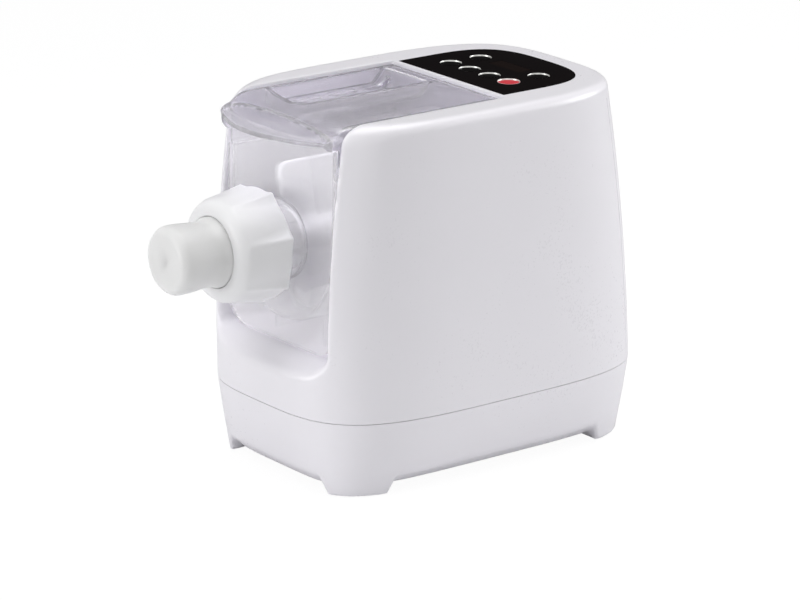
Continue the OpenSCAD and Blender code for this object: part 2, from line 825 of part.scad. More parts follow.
// The cable hangs from the panel's board and slants across to the power board
module ribbon_cable() color("#c9c4b8") along_y(connector_y[0] + 1, connector_y[1] - 1) polygon([
    [ribbon_x - ribbon_t, board_low - connector_h], [ribbon_x, board_low - connector_h],
    [ribbon_x, board_high + 6 * connector_w], [ribbon_end + ribbon_t, board_high + connector_w],
    [ribbon_end + ribbon_t, board_high], [ribbon_end, board_high], [ribbon_end, board_high + connector_w],
    [ribbon_x - ribbon_t, board_high + 6 * connector_w]]);

module power_board() color("#2f6b46") {
    box([board_x - board_t, power_front, floor_top], [board_x, power_rear, board_high]);
    box([board_x, connector_y[0], board_high - connector_w],
        [ribbon_end + connector_w, connector_y[1], board_high]);
}

module power_parts() color("#c9a227") translate([board_x - board_t, power_front, 0]) {
    box([-choke_w, parts_gap, choke_low], [0, parts_gap + choke_l, choke_low + choke_h]);
    box([-relay_w, parts_gap, relay_low], [0, parts_gap + relay_l, relay_low + relay_h]);
    for (z = [capacitor_low, capacitor_low + 2 * capacitor_r + 4])
        translate([0, 2 * parts_gap + relay_l + capacitor_r, z])
            rotate([0, -90, 0]) cylinder(r = capacitor_r, h = capacitor_l);
    box([-sink_w, power_l - sink_l - 3, sink_low], [0, power_l - 3, sink_low + sink_h]);
}

module cord_gland() color("#2c2c30") translate([-gland_x, gland_seat, gland_h]) rotate([-90, 0, 0])
    difference() {
    union() {
        cylinder(r = gland_flange_r, h = 3);
        translate([0, 0, -15]) cylinder(r = gland_r, h = 15);
    }
    translate([0, 0, -16]) cylinder(r = cord_r, h = 20);
}

clamp_rear = gland_seat - clamp_gap;

module cord_clamp() color("#2c2c30") along_y(clamp_rear - clamp_l, clamp_rear) difference() {
    translate([-gland_x - clamp_w / 2, floor_top]) square([clamp_w, gland_h - floor_top + clamp_l]);
    translate([-gland_x, gland_h]) circle(cord_r + 0.2);
    translate([-gland_x + cord_r + 3, floor_top + 3]) square([3, clamp_l]);
}

// ---- Gearbox ----

module gearbox_outline(inset) rounded_rect([-gearbox_w / 2 + inset, gearbox_low + inset],
    [gearbox_w / 2 - inset, gearbox_high - inset], gearbox_round - inset);

module gearbox_stand() color("#9a9ca0") along_y(gearbox_front + 4, gearbox_rear - 4) difference() {
    translate([-stand_w / 2, floor_top]) square([stand_w, gearbox_low - floor_top]);
    translate([stand_t - stand_w / 2, floor_top + stand_t])
        square([stand_w - 2 * stand_t, gearbox_low - floor_top - 2 * stand_t]);
}

output_bush_r = 10;
idler_bush_r = 7;
case_front = gearbox_front + gearbox_wall;
case_floor = gearbox_rear - gearbox_wall;
output_shaft_rear = gearbox_rear - 2;
idler_shaft_front = gearbox_front + 0.5;

module gearbox_case() color("#8f9296") {
    difference() {
        union() {
            along_y(case_front, gearbox_rear) difference() {
                gearbox_outline(0);
                gearbox_outline(gearbox_wall);
            }
            along_y(case_floor, gearbox_rear) gearbox_outline(1);
            along_y(case_front, case_floor + 1) intersection() {
                for (p = case_screws) translate(p) circle(5);
                gearbox_outline(1);
            }
            rod_y(output_bush_r + 3, first_pair_y + 1, case_floor + 1, 0, axis_h);
        }
        rod_y(output_bush_r, first_pair_y, output_shaft_rear + 0.5, 0, axis_h);
        rod_y(idler_bush_r, case_floor - 1, gearbox_rear - 0.6, 0, idler_h);
        rod_y(motor_tip_r + 1.5, case_floor - 1, gearbox_rear + 1, 0, motor_h);
        for (p = case_screws) rod_y(case_screw_r, case_front - 1, case_floor - 4, p[0], p[1]);
        for (x = [-1, 1]) rod_y(case_screw_r, case_floor - 1, gearbox_rear + 1, x * motor_screw_x, motor_h);
    }
}

module gearbox_cover() color("#8f9296") difference() {
    union() {
        along_y(gearbox_front, case_front) gearbox_outline(0);
        rod_y(output_bush_r + 3, gearbox_front - 2, case_front, 0, axis_h);
    }
    rod_y(output_bush_r, gearbox_front - 3, case_front + 1, 0, axis_h);
    rod_y(idler_bush_r, gearbox_front + 0.4, case_front + 1, 0, idler_h);
    for (p = case_screws) rod_y(case_screw_r, gearbox_front - 1, case_front + 1, p[0], p[1]);
}

module gearbox_screws() color("#b8b8bc") for (p = case_screws) {
    rod_y(case_head_r, gearbox_front - case_head_t, gearbox_front, p[0], p[1]);
    rod_y(case_screw_r, gearbox_front, gearbox_front + case_screw_l, p[0], p[1]);
}

module output_bushes() color("#b5894a") {
    ring_y(output_bush_r, shaft_r + run_gap, gearbox_front - 2, case_front, 0, axis_h);
    ring_y(output_bush_r, shaft_r + run_gap, first_pair_y + 1, output_shaft_rear + 0.5, 0, axis_h);
}

module idler_bushes() color("#b5894a") {
    ring_y(idler_bush_r, idler_r + run_gap, gearbox_front + 0.4, case_front, 0, idler_h);
    ring_y(idler_bush_r, idler_r + run_gap, case_floor - 0.4, gearbox_rear - 0.6, 0, idler_h);
}

// Outline of an involute gear whose first tooth points along the shape's X axis
function involute(base, r) = let (a = acos(min(1, base / r))) tan(a) * 180 / PI - a;
function gear_outline(m, teeth) =
    let (
        pitch = m * teeth / 2, base = pitch * cos(pressure_angle), tip = pitch + m, root = pitch - 1.25 * m,
        half = 90 / teeth - backlash / 4 / pitch * 180 / PI + involute(base, pitch),
        low = max(base, root), radii = [low, low + (tip - low) / 3, low + (tip - low) * 2 / 3, tip],
        flank = concat([[root, half]], [for (r = radii) [r, half - involute(base, r)]])
    )
    [for (i = [0 : teeth - 1], side = [-1, 1], k = [0 : 4])
        let (p = flank[side < 0 ? k : 4 - k], a = 360 * i / teeth + side * p[1]) [p[0] * cos(a), p[0] * sin(a)]];

module gear(m, teeth, from, to, h, bore, phase = 0) along_y(from, to) translate([0, h]) difference() {
    rotate(phase) polygon(gear_outline(m, teeth));
    circle(bore);
}

module output_gear() color("#d8d4c4") {
    gear(second_module, output_teeth, second_pair_y, second_pair_y + second_w, axis_h, shaft_r,
        180 / output_teeth);
}

square_rear = tub_rear - tub_wall - 3;

module output_shaft() color("#b0b2b6") {
    rod_y(shaft_r, square_rear, output_shaft_rear, 0, axis_h);
    box([-square_w / 2, square_rear - square_l, axis_h - square_w / 2],
        [square_w / 2, square_rear, axis_h + square_w / 2]);
}

module shaft_seal() color("#3c3c40") ring_y(seal_r, shaft_r + run_gap, bay_rear, bay_rear + wall, 0, axis_h);

module idler_gear() color("#d8d4c4")
    gear(first_module, idler_teeth, first_pair_y, first_pair_y + first_w, idler_h, idler_r);

module idler_pinion() color("#a8a49a")
    gear(second_module, idler_pinion_teeth, second_pair_y - 0.6, first_pair_y, idler_h, idler_r);

module idler_shaft() color("#b0b2b6") rod_y(idler_r, idler_shaft_front, gearbox_rear - 0.8, 0, idler_h);

// ---- Motor ----

module motor_can() color("#a4a6aa") ring_y(motor_r, motor_r - motor_wall, can_front, can_rear, 0, motor_h);

module motor_end_caps() color("#84868a") {
    difference() {
        rod_y(motor_r, motor_front, can_front, 0, motor_h);
        rod_y(idler_r + run_gap, motor_front - 1, can_front + 1, 0, motor_h);
        for (x = [-1, 1]) rod_y(case_screw_r, motor_front - 1, can_front + 1, x * motor_screw_x, motor_h);
    }
    ring_y(motor_r, idler_r + run_gap, can_rear, motor_rear, 0, motor_h);
}

module motor_magnets() color("#4c4c50") along_y(can_front + 4, can_rear - 4) translate([0, motor_h])
    difference() {
    circle(motor_r - motor_wall);
    circle(core_r + air_gap);
    square([12, 2 * motor_r], center = true);
}

module motor_shaft() color("#b0b2b6") rod_y(idler_r, first_pair_y - 0.6, motor_rear + fan_w + 4, 0, motor_h);

module motor_core() color("#8a5a3c") along_y(can_front + 8, can_rear - 8) translate([0, motor_h]) difference() {
    circle(core_r);
    circle(idler_r);
    for (i = [0 : 11]) rotate(30 * i) translate([core_r - 7, -1.5]) square([8, 3]);
}

module motor_pinion() color("#a8a49a")
    gear(first_module, motor_teeth, first_pair_y - 0.5, first_pair_y + first_w + 0.5, motor_h, idler_r);

fan_front = motor_rear + 2;

module motor_fan() color("#3c3c40") along_y(fan_front, fan_front + fan_w) translate([0, motor_h]) difference() {
    union() {
        circle(9);
        for (i = [0 : fan_blades - 1]) rotate(360 * i / fan_blades) translate([0, -1]) square([fan_r, 2]);
    }
    circle(idler_r);
}

cradle_front = (can_front + can_rear - cradle_l) / 2;
cradle_top = motor_h - sqrt(motor_r * motor_r - cradle_w * cradle_w / 4);

module motor_cradle() color("#9a9ca0") along_y(cradle_front, cradle_front + cradle_l) difference() {
    translate([-cradle_w / 2, floor_top]) square([cradle_w, cradle_top - floor_top]);
    translate([0, motor_h]) circle(motor_r);
    translate([stand_t - cradle_w / 2, floor_top + stand_t])
        square([cradle_w - 2 * stand_t, motor_h - motor_r - floor_top - 2 * stand_t]);
}

module motor_screws() color("#b8b8bc") for (x = [-1, 1]) {
    rod_y(case_head_r, case_floor - case_head_t, case_floor, x * motor_screw_x, motor_h);
    rod_y(case_screw_r, case_floor, can_front - 0.3, x * motor_screw_x, motor_h);
}

// ---- Lid switch ----

cam_mid = cam_from + cam_w / 2;
switch_h = 3 * cam_r;
switch_rear = hinge_y + cam_r + 2;

module lid_switch() color("#26262a") difference() {
    box([half_bay + wall, switch_rear - switch_l, switch_top - switch_h], [cam_from + cam_w + 1, switch_rear, switch_top]);
    translate([cam_mid, hinge_y, switch_top - 9]) cylinder(r = plunger_r + run_gap, h = 10);
}

module switch_plunger() color("#c8323c") translate([cam_mid, hinge_y, switch_top - 8])
    cylinder(r = plunger_r, h = plunger_top - switch_top + 8);

module lid_cam() color("#d8d4c4") along_x(cam_from, cam_from + cam_w) translate([hinge_y, hinge_h])
    difference() {
    union() {
        circle(pin_r + 1.5);
        polygon(concat([[0, 0]], [for (i = [-2 : 12]) let (t = i * lid_open / 11,
            r = cam_r - plunger_travel * max(0, t) / lid_open) [r * sin(t), -r * cos(t)]]));
    }
    circle(pin_r);
}

// ---- Lid ----

lid_clear = 0.25;

function lid_outline(inset, low) = concat(
    [[lid_rear - inset, low]],
    arc(hinge_y, hinge_h, lid_edge_r - inset, 0, 90, 6),
    arc(-lid_front + lid_roll_r, lid_top - lid_roll_r, lid_roll_r - inset, 90, 180, 12),
    [[-lid_front + inset, low]]
);

module tray_plan(grow) difference() {
    translate([-half_lid + lid_t - grow, -tray_front - grow])
        square([half_lid - lid_t - tray_side + 2 * grow, tray_front + hinge_y - 8 + 2 * grow]);
    translate([-tray_side + grow - tray_r - grow, -tray_front - grow]) difference() {
        translate([0, -eps]) square([tray_r + grow + eps, tray_r + grow + eps]);
        translate([0, tray_r + grow]) circle(tray_r + grow);
    }
}

// Plan of the grip lip: a bow across the front, from the rolled front outwards
module grip_plan(inset) intersection() {
    translate([0, grip_bow_r - grip_front]) circle(grip_bow_r - inset, $fn = 96);
    translate([inset - half_lid, -grip_front])
        square([2 * (half_lid - inset), grip_front - lid_front + lid_roll_r / 2]);
}

module lid() color("#d9d6e2", 0.6) {
    difference() {
        union() {
            difference() {
                along_x(-half_lid, half_lid) polygon(lid_outline(0, lid_low));
                along_x(-half_lid + lid_t, half_lid - lid_t) polygon(lid_outline(lid_t, lid_low - 1));
                box([-half_bay, -grip_front, lid_low - 1], [half_bay, -tub_front + seam_gap, lid_skirt_h]);
            }
            intersection() {
                slab(lid_top - tray_depth - lid_t, lid_top) tray_plan(lid_t);
                along_x(-half_lid, half_lid) polygon(lid_outline(0, lid_low));
            }
            difference() {
                union() {
                    slab(grip_low, grip_low + grip_h) grip_plan(0);
                    for (x = [-half_lid, half_lid - lid_t]) along_x(x, x + lid_t)
                        translate([-lid_front, grip_low - grip_ear_r / 2]) circle(grip_ear_r);
                }
                slab(grip_low - 1, grip_low + grip_h - lid_t) grip_plan(lid_t);
                along_x(lid_t - half_lid, half_lid - lid_t) polygon(lid_outline(lid_t, lid_low - 1));
            }
        }
        slab(lid_top - tray_depth, body_h + 1) tray_plan(0);
        for (i = [0 : slots - 1]) slab(lid_top - tray_depth - lid_t - 1, lid_top)
            translate([-tray_side - 6 - slot_w, -tray_front + 12 + i * (slot_l + 8)])
                rounded_rect([0, 0], [slot_w, slot_l], slot_w / 2 - eps);
    }
    rod_x(pin_r, -pin_out, -half_lid + 1, hinge_y, hinge_h);
    rod_x(pin_r, half_lid - 1, cam_from + cam_w + 1, hinge_y, hinge_h);
}

// ---- Chamber ----

module tub_outline(r, top) {
    intersection() {
        translate([0, axis_h]) circle(r, $fn = 96);
        translate([-r, axis_h - r]) square([2 * r, r]);
    }
    translate([-r, axis_h]) square([2 * r, top - axis_h]);
}

chamber_seal_r = 10;

module mixing_chamber() color("#d9d6e2", 0.6) {
    along_y(-tub_front, tub_rear - tub_wall) difference() {
        union() {
            tub_outline(tub_out_r, rim_h);
            translate([-half_chamber, rim_h - rim_t]) square([2 * half_chamber, rim_t]);
            for (x = [-1, 1]) translate([x * runner_x - tub_wall / 2, runner_low])
                square([tub_wall, axis_h - runner_low]);
        }
        tub_outline(tub_r, rim_h + 1);
    }
    along_y(tub_rear - tub_wall, tub_rear) difference() {
        union() {
            tub_outline(tub_out_r, rim_h);
            translate([-half_chamber, rim_h - rim_t]) square([2 * half_chamber, rim_t]);
            translate([-runner_x - tub_wall / 2, runner_low]) square([2 * runner_x + tub_wall, axis_h - runner_low]);
        }
        translate([0, axis_h]) circle(chamber_seal_r);
    }
}

module chamber_seal() color("#8c8c90")
    ring_y(chamber_seal_r, shaft_r + run_gap, tub_rear - tub_wall, tub_rear, 0, axis_h);

module front_plate() color("#d9d6e2", 0.6) {
    along_y(-plate_front, -tub_front) difference() {
        intersection() {
            rounded_rect([-half_chamber, plate_low], [half_chamber, plate_top + 2 * plate_round], plate_round);
            translate([-half_chamber, plate_low]) square([2 * half_chamber, plate_top - plate_low]);
        }
        translate([0, axis_h]) circle(barrel_r);
    }
    translate([0, -plate_front, axis_h]) rotate([90, 0, 0]) rotate_extrude($fn = 96) {
        translate([barrel_r, 0]) square([barrel_wall, barrel_front - plate_front]);
        for (i = [0 : thread_ridges - 1])
            translate([barrel_out_r - 0.5, nut_rear - plate_front + 3 + i * thread_pitch]) polygon([[0, 0], [thread_h + 0.5, 2], [thread_h + 0.5, 4], [0, 6]]);
    }
}

// ---- Kneader ----

hub_rear = square_rear - 0.5;
wing_rear = square_rear - 2 * hub_r + 8;
wing_front = wing_rear - wing_l;
screw_tip = -barrel_front + 4;
screw_core_r = hub_r - 3;

// One wing from the axis outwards, turned about it from the upright
module wing(from, long, r, turn) translate([0, 0, axis_h]) rotate([0, turn, 0]) intersection() {
    along_x(-wing_t / 2, wing_t / 2) rounded_rect([from, -wing_r], [from + long, wing_r], r);
    box([-wing_t, from, 0], [wing_t, from + long, wing_r]);
}

module kneading_paddle() color("#f0eff2") {
    difference() {
        union() {
            rod_y(hub_r, wing_front, hub_rear, 0, axis_h);
            wing(wing_front, tall_wing_l, wing_round, -wing_angle);
            wing(wing_front, low_wing_l, low_wing_l / 2, 180 - wing_angle);
            wing(wing_front + tall_wing_l, wing_l - tall_wing_l, wing_round, 180 + 2 * wing_angle);
        }
        box([-square_w / 2 - 0.15, square_rear - square_l - 0.5, axis_h - square_w / 2 - 0.15],
            [square_w / 2 + 0.15, hub_rear + 1, axis_h + square_w / 2 + 0.15]);
    }
    rod_y(screw_core_r - 1, wing_front - hub_r, wing_front + hub_r / 2, 0, axis_h);
    translate([0, wing_front, axis_h]) rotate([90, 0, 0])
        linear_extrude(wing_front - screw_tip, twist = 360 * flight_turns, slices = 44) {
            circle(screw_core_r, $fn = 24);
            translate([0, -flight_t / 2]) square([screw_flight_r, flight_t]);
        }
}

// ---- Nozzle ----

disc_r = thread_r - 0.5;

module shaping_disc() color("#f4f2ee") along_y(-disc_front, -barrel_front) translate([0, axis_h]) difference() {
    circle(disc_r, $fn = 72);
    for (i = [0 : disc_holes - 1]) rotate(360 * i / disc_holes) translate([barrel_r - 9, 0]) circle(disc_hole_r);
}

module lock_nut() color("#f0eff2") translate([0, -nut_rear, axis_h]) rotate([90, 0, 0]) difference() {
    rotate_extrude($fn = 96) polygon(concat(
        [[nut_bore_r, 0], [nut_rear_r, 0]],
        arc(nut_front_r - nut_round, nut_l - nut_round, nut_round, 0, 90),
        [[nut_mouth_r, nut_l], [nut_mouth_r, nut_face_y - nut_rear], [nut_bore_r, nut_face_y - nut_rear]]
    ));
    for (i = [0 : nut_grips - 1]) rotate(grip_angle + 360 * (i + 0.5) / nut_grips)
        translate([nut_waist_r + nut_hollow_r, 0, -1]) cylinder(r = nut_hollow_r, h = nut_l + 2, $fn = 96);
}

module nozzle_cap() color("#f2f2f2", 0.85) translate([0, -cap_rear, axis_h]) rotate([90, 0, 0]) {
    plug_l = nut_front - cap_rear + 1;
    long = cap_front - cap_rear;
    rotate_extrude($fn = 72) polygon(concat(
        [[cap_mouth_r - cap_wall, 0], [cap_mouth_r, 0], [cap_mouth_r, plug_l], [cap_waist_r, plug_l + 8]],
        arc(cap_end_r - cap_round, long - cap_round, cap_round, 0, 90),
        [[0, long], [0, long - cap_wall], [cap_end_r - cap_round, long - cap_wall]],
        [[cap_end_r - cap_wall, long - cap_round], [cap_waist_r - cap_wall, plug_l + 8],
            [cap_mouth_r - cap_wall, plug_l]]
    ));
}

placed() base_shell();
placed() foot_pads();
placed() base_screws();
placed() housing_shell();
placed() control_panel();
placed() display_window();
placed() display_module();
placed() panel_board();
placed() panel_screws();
placed() power_button();
placed() start_button();
placed() menu_button();
placed() dough_button();
placed() pasta_button();
placed() time_button();
placed() ribbon_cable();
placed() power_board();
placed() power_parts();
placed() cord_gland();
placed() cord_clamp();
placed() gearbox_stand();
placed() gearbox_case();
placed() gearbox_cover();
placed() gearbox_screws();
placed() output_bushes();
placed() output_gear();
placed() output_shaft();
placed() shaft_seal();
placed() idler_gear();
placed() idler_pinion();
placed() idler_shaft();
placed() idler_bushes();
placed() motor_can();
placed() motor_end_caps();
placed() motor_magnets();
placed() motor_shaft();
placed() motor_core();
placed() motor_pinion();
placed() motor_fan();
placed() motor_cradle();
placed() motor_screws();
placed() lid_switch();
placed() switch_plunger();
placed() lid();
placed() lid_cam();
placed() mixing_chamber();
placed() chamber_seal();
placed() front_plate();
placed() kneading_paddle();
placed() shaping_disc();
placed() lock_nut();
placed() nozzle_cap();
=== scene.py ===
import math
from itertools import product

import bmesh
import bpy
import numpy as np
from mathutils import Matrix, Vector


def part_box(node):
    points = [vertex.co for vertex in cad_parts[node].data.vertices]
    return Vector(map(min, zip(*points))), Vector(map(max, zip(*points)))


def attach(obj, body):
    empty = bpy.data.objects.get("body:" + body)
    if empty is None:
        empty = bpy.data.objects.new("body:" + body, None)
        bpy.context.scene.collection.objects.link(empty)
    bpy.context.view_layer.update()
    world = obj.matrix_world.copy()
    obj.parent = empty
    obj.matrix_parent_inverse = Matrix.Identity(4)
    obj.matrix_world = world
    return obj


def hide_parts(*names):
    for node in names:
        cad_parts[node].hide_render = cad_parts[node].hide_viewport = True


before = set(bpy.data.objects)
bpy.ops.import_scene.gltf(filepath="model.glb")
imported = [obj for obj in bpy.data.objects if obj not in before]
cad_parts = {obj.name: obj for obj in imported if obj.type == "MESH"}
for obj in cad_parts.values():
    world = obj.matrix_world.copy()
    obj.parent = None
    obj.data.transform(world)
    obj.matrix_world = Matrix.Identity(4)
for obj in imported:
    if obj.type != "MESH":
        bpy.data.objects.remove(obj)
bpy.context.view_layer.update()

# ---------------------------------------------------------------------------------------------------------
# View. The machine is seen from the front right with a long lens, a little above its top.
# The camera stands on a sphere round a point near the machine's middle, and leans by a fraction of a degree.
# All sizes in this file are millimetres, along Y from the machine plane near the back of the chamber.
mm = 0.001
seam_rear = 162.5
plane_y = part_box("base_shell")[1][1] / mm - seam_rear


def place(x, y, z):
    return Vector((x, y + plane_y, z)) * mm


azimuth, elevation, lean = math.radians(52.11), math.radians(17.54), math.radians(0.69)
camera_distance, aim_side, aim_height = 3160.6, -45.7, 112.6
picture_w, picture_h, focal_px, centre_px = 800, 600, 4041.1, (365.14, 301.25)
back = Vector((math.sin(azimuth) * math.cos(elevation), -math.cos(azimuth) * math.cos(elevation),
               math.sin(elevation)))
level = Vector((math.cos(azimuth), math.sin(azimuth), 0))
upright = back.cross(level)
right = math.cos(lean) * level + math.sin(lean) * upright
up = math.cos(lean) * upright - math.sin(lean) * level
camera = bpy.data.objects.new("camera", bpy.data.cameras.new("camera"))
bpy.context.scene.collection.objects.link(camera)
stand = place(*(level * aim_side + Vector((0, 0, aim_height)) + back * camera_distance))
camera.matrix_world = Matrix.Translation(stand) @ Matrix((right, up, back)).transposed().to_4x4()
camera.data.lens = focal_px / picture_w * camera.data.sensor_width
camera.data.shift_x = (picture_w / 2 - centre_px[0]) / picture_w
camera.data.shift_y = (centre_px[1] - picture_h / 2) / picture_w
camera.data.clip_end = 50
bpy.context.scene.camera = camera

# ---------------------------------------------------------------------------------------------------------
# Base. The lower casing is a glossy white ABS moulding: a tub with a bevelled skirt and four corner feet.
# Every moulding here is a field, negative inside the plastic, whose joints and edges have their own radii.
foot_w, seam_w, top_w = 183, 212, 194
foot_front, seam_front, waist_front, top_front = 146, 158, 161.5, 153.5
foot_rear, waist_rear, top_rear = 152, 156, 139.5
foot_square, seam_square, top_square = 4.6, 3.65, 3.4
seam_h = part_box("base_shell")[1][2] / mm
body_h, waist_h, side_round, front_round = 290, 170, 8, 21
wall = 3.6
skirt_h, bevel_h, bevel_in, floor_h = 7, 17, 9, 10
foot_low, foot_across, foot_along, foot_flare = 1, 30, 45, 6
seam_gap = 0.25


def smooth(low, high, value):
    t = np.clip((value - low) / (high - low), 0, 1)
    return t * t * (3 - 2 * t)


def both(a, b, r=0.01):
    """Where both forms are, with a radius r along their common edge."""
    return np.minimum(-r, np.maximum(a, b)) + np.hypot(np.maximum(a + r, 0), np.maximum(b + r, 0))


def either(a, b, r=0.01):
    return -both(-a, -b, r)


def without(a, b, r=0.01):
    return both(a, -b, r)


def cuboid(x, y, z, low, high, r=0.01):
    p = [np.abs(v - (a + b) / 2) - (b - a) / 2 + r for v, a, b in zip((x, y, z), low, high)]
    outside = np.sqrt(sum(np.maximum(q, 0) ** 2 for q in p))
    return outside + np.minimum(np.maximum(np.maximum(p[0], p[1]), p[2]), 0) - r


def through(z, low, middle, high):
    """The parabola through three reaches: at the seam, at the waist and at the top edge."""
    a, b, c = seam_h, waist_h, body_h - side_round
    return (low * (z - b) * (z - c) / ((a - b) * (a - c)) + middle * (z - a) * (z - c) / ((b - a) * (b - c))
            + high * (z - a) * (z - b) / ((c - a) * (c - b)))


def outline_at(z):
    """Half width, front and rear reach, and squareness of the body's plan outline at a height."""
    z = np.clip(z, 0, body_h - side_round)
    low, high = np.clip(z / seam_h, 0, 1), np.clip((z - seam_h) / (body_h - side_round - seam_h), 0, 1)
    base = z < seam_h
    half = (foot_w + (seam_w - foot_w) * low + (top_w - seam_w) * high) / 2
    front = np.where(base, foot_front + (seam_front - foot_front) * low,
                     through(z, seam_front, waist_front, top_front))
    rear = np.where(base, foot_rear + (seam_rear - foot_rear) * low,
                    through(z, seam_rear, waist_rear, top_rear))
    square = foot_square + (seam_square - foot_square) * low + (top_square - seam_square) * high
    return half, front, rear, square


def skin(x, y, z):
    """Distance from the body's side surface, negative inside."""
    half, front, rear, n = outline_at(z)
    u, v = np.abs(x) / half, np.abs(y - (rear - front) / 2) * 2 / (rear + front)
    s = np.maximum((u ** n + v ** n) ** (1 / n), 1e-3)
    slope = s ** (1 - n) * np.hypot(u ** (n - 1) / half, v ** (n - 1) * 2 / (rear + front))
    return (s - 1) / np.maximum(slope, 1e-4)


def add_piece(name, mesh, body, material, replaced=()):
    """A mesh in metres becomes a piece that rides on a body and stands for CAD nodes."""
    piece = bpy.data.objects.new(name, mesh)
    bpy.context.scene.collection.objects.link(piece)
    mesh.materials.clear()
    mesh.materials.append(material)
    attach(piece, body)
    if replaced:
        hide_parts(*replaced)
    return piece


def mesh_of(name, points, faces, crease=40):
    """A smooth shaded mesh from points in millimetres, creased where faces meet at more than an angle."""
    mesh = bpy.data.meshes.new(name)
    points = (np.asarray(points, float) + (0, plane_y, 0)) * mm
    mesh.from_pydata(points.tolist(), [], [tuple(f) for f in faces])
    mesh.update()
    mesh.shade_smooth()
    mesh.set_sharp_from_angle(angle=math.radians(crease))
    return mesh


def moulding(name, field, low, high, cell, crease=40):
    """The surface where a field is zero, as quads: one point in each grid cell that the surface crosses."""
    low, high = np.array(low, float) - 1.5 * cell, np.array(high, float) + 1.5 * cell
    count = np.ceil((high - low) / cell).astype(int) + 1
    block = 4
    middles = [low[a] + cell * (block * np.arange(-(-count[a] // block)) + (block - 1) / 2) for a in range(3)]
    coarse = field(*np.meshgrid(*middles, indexing="ij"))

    def spread(values):
        for a in range(3):
            values = values.repeat(block, a)
        return values[:count[0], :count[1], :count[2]]

    value = spread(coarse).copy()
    near = np.nonzero(spread(np.abs(coarse) < 1.5 * block * cell))
    value[near] = field(*(low[a] + cell * near[a] for a in range(3)))
    inside = value < 0
    total = sum(inside[i:count[0] - 1 + i, j:count[1] - 1 + j, k:count[2] - 1 + k].astype(np.int8)
                for i, j, k in product((0, 1), repeat=3))
    cells = np.argwhere((total > 0) & (total < 8))
    number = np.full(count - 1, -1)
    number[tuple(cells.T)] = np.arange(len(cells))
    points, crossings = np.zeros((len(cells), 3)), np.zeros(len(cells))
    for axis, i, j in product(range(3), (0, 1), (0, 1)):
        start = cells.copy()
        start[:, (axis + 1) % 3] += i
        start[:, (axis + 2) % 3] += j
        end = start + np.eye(3, dtype=int)[axis]
        a, b = value[tuple(start.T)], value[tuple(end.T)]
        cross = (a < 0) != (b < 0)
        at = start[cross].astype(float)
        at[:, axis] += a[cross] / (a[cross] - b[cross])
        points[cross] += at
        crossings[cross] += 1
    points = low + cell * points / crossings[:, None]
    step = 0.05 * cell
    for _ in range(3):
        here = field(*points.T)
        slope = np.stack([field(*(points + step * np.eye(3)[a]).T) - field(*(points - step * np.eye(3)[a]).T)
                          for a in range(3)], axis=1) / (2 * step)
        move = here / np.maximum((slope ** 2).sum(axis=1), 0.05)
        points -= slope * np.clip(move, -cell / 2, cell / 2)[:, None]
    faces = []
    for axis in range(3):
        u, v = np.eye(3, dtype=int)[(axis + 1) % 3], np.eye(3, dtype=int)[(axis + 2) % 3]
        lower = np.take(inside, range(count[axis] - 1), axis)
        edges = np.argwhere(lower != np.take(inside, range(1, count[axis]), axis))
        for w in (u, v):
            edges = edges[(edges @ w > 0) & (edges @ w < (count - 1) @ w)]
        quad = np.stack([number[tuple((edges - s).T)] for s in (0 * u, u, u + v, v)], axis=1)
        flip = ~lower[tuple(edges.T)]
        quad[flip] = quad[flip][:, ::-1]
        faces.append(quad)
    return mesh_of(name, points, np.concatenate(faces).tolist(), crease)


def outward(mesh):
    """Turns all faces of a closed mesh outwards."""
    form = bmesh.new()
    form.from_mesh(mesh)
    bmesh.ops.recalc_face_normals(form, faces=form.faces)
    form.to_mesh(mesh)
    form.free()
    return mesh


def prism(outline, low, high, axis="z"):
    """A prism in millimetres: an outline of (a, b) points, drawn across the axis, from low to high."""
    order = {"z": (0, 1, 2), "y": (0, 2, 1), "x": (1, 2, 0)}[axis]
    n = len(outline)
    points = []
    for h in (low, high):
        for a, b in outline:
            p = [0, 0, 0]
            p[order[0]], p[order[1]], p[order[2]] = a, b, h
            points.append(p)
    faces = [list(range(n))[::-1], list(range(n, 2 * n))]
    faces += [[i, (i + 1) % n, n + (i + 1) % n, n + i] for i in range(n)]
    return outward(mesh_of("prism", points, faces))


def disc_outline(x, y, r, steps=48):
    turn = np.linspace(0, 2 * math.pi, steps, endpoint=False)
    return np.stack([x + r * np.cos(turn), y + r * np.sin(turn)], axis=1).tolist()


def combine(mesh, others, operation="DIFFERENCE", crease=40):
    """Cuts other meshes out of a mesh, or joins them to it, with crisp edges."""
    work = bpy.data.objects.new("work", mesh)
    bpy.context.scene.collection.objects.link(work)
    tools = []
    for other in others:
        tool = bpy.data.objects.new("tool", other)
        bpy.context.scene.collection.objects.link(tool)
        change = work.modifiers.new("cut", "BOOLEAN")
        change.operation, change.solver, change.object = operation, "MANIFOLD", tool
        tools.append(tool)
    bpy.context.view_layer.update()
    result = bpy.data.meshes.new_from_object(work.evaluated_get(bpy.context.evaluated_depsgraph_get()))
    for item in tools + [work]:
        bpy.data.objects.remove(item)
    result.shade_smooth()
    result.set_sharp_from_angle(angle=math.radians(crease))
    return result


def value_node(tree, kind, inputs=(), **settings):
    """A shader node with its settings, and its inputs set to values or linked to other nodes' outputs."""
    node = tree.nodes.new(kind)
    for key, item in settings.items():
        setattr(node, key, item)
    for key, item in dict(inputs).items():
        if isinstance(item, bpy.types.NodeSocket):
            tree.links.new(item, node.inputs[key])
        else:
            node.inputs[key].default_value = item
    return node


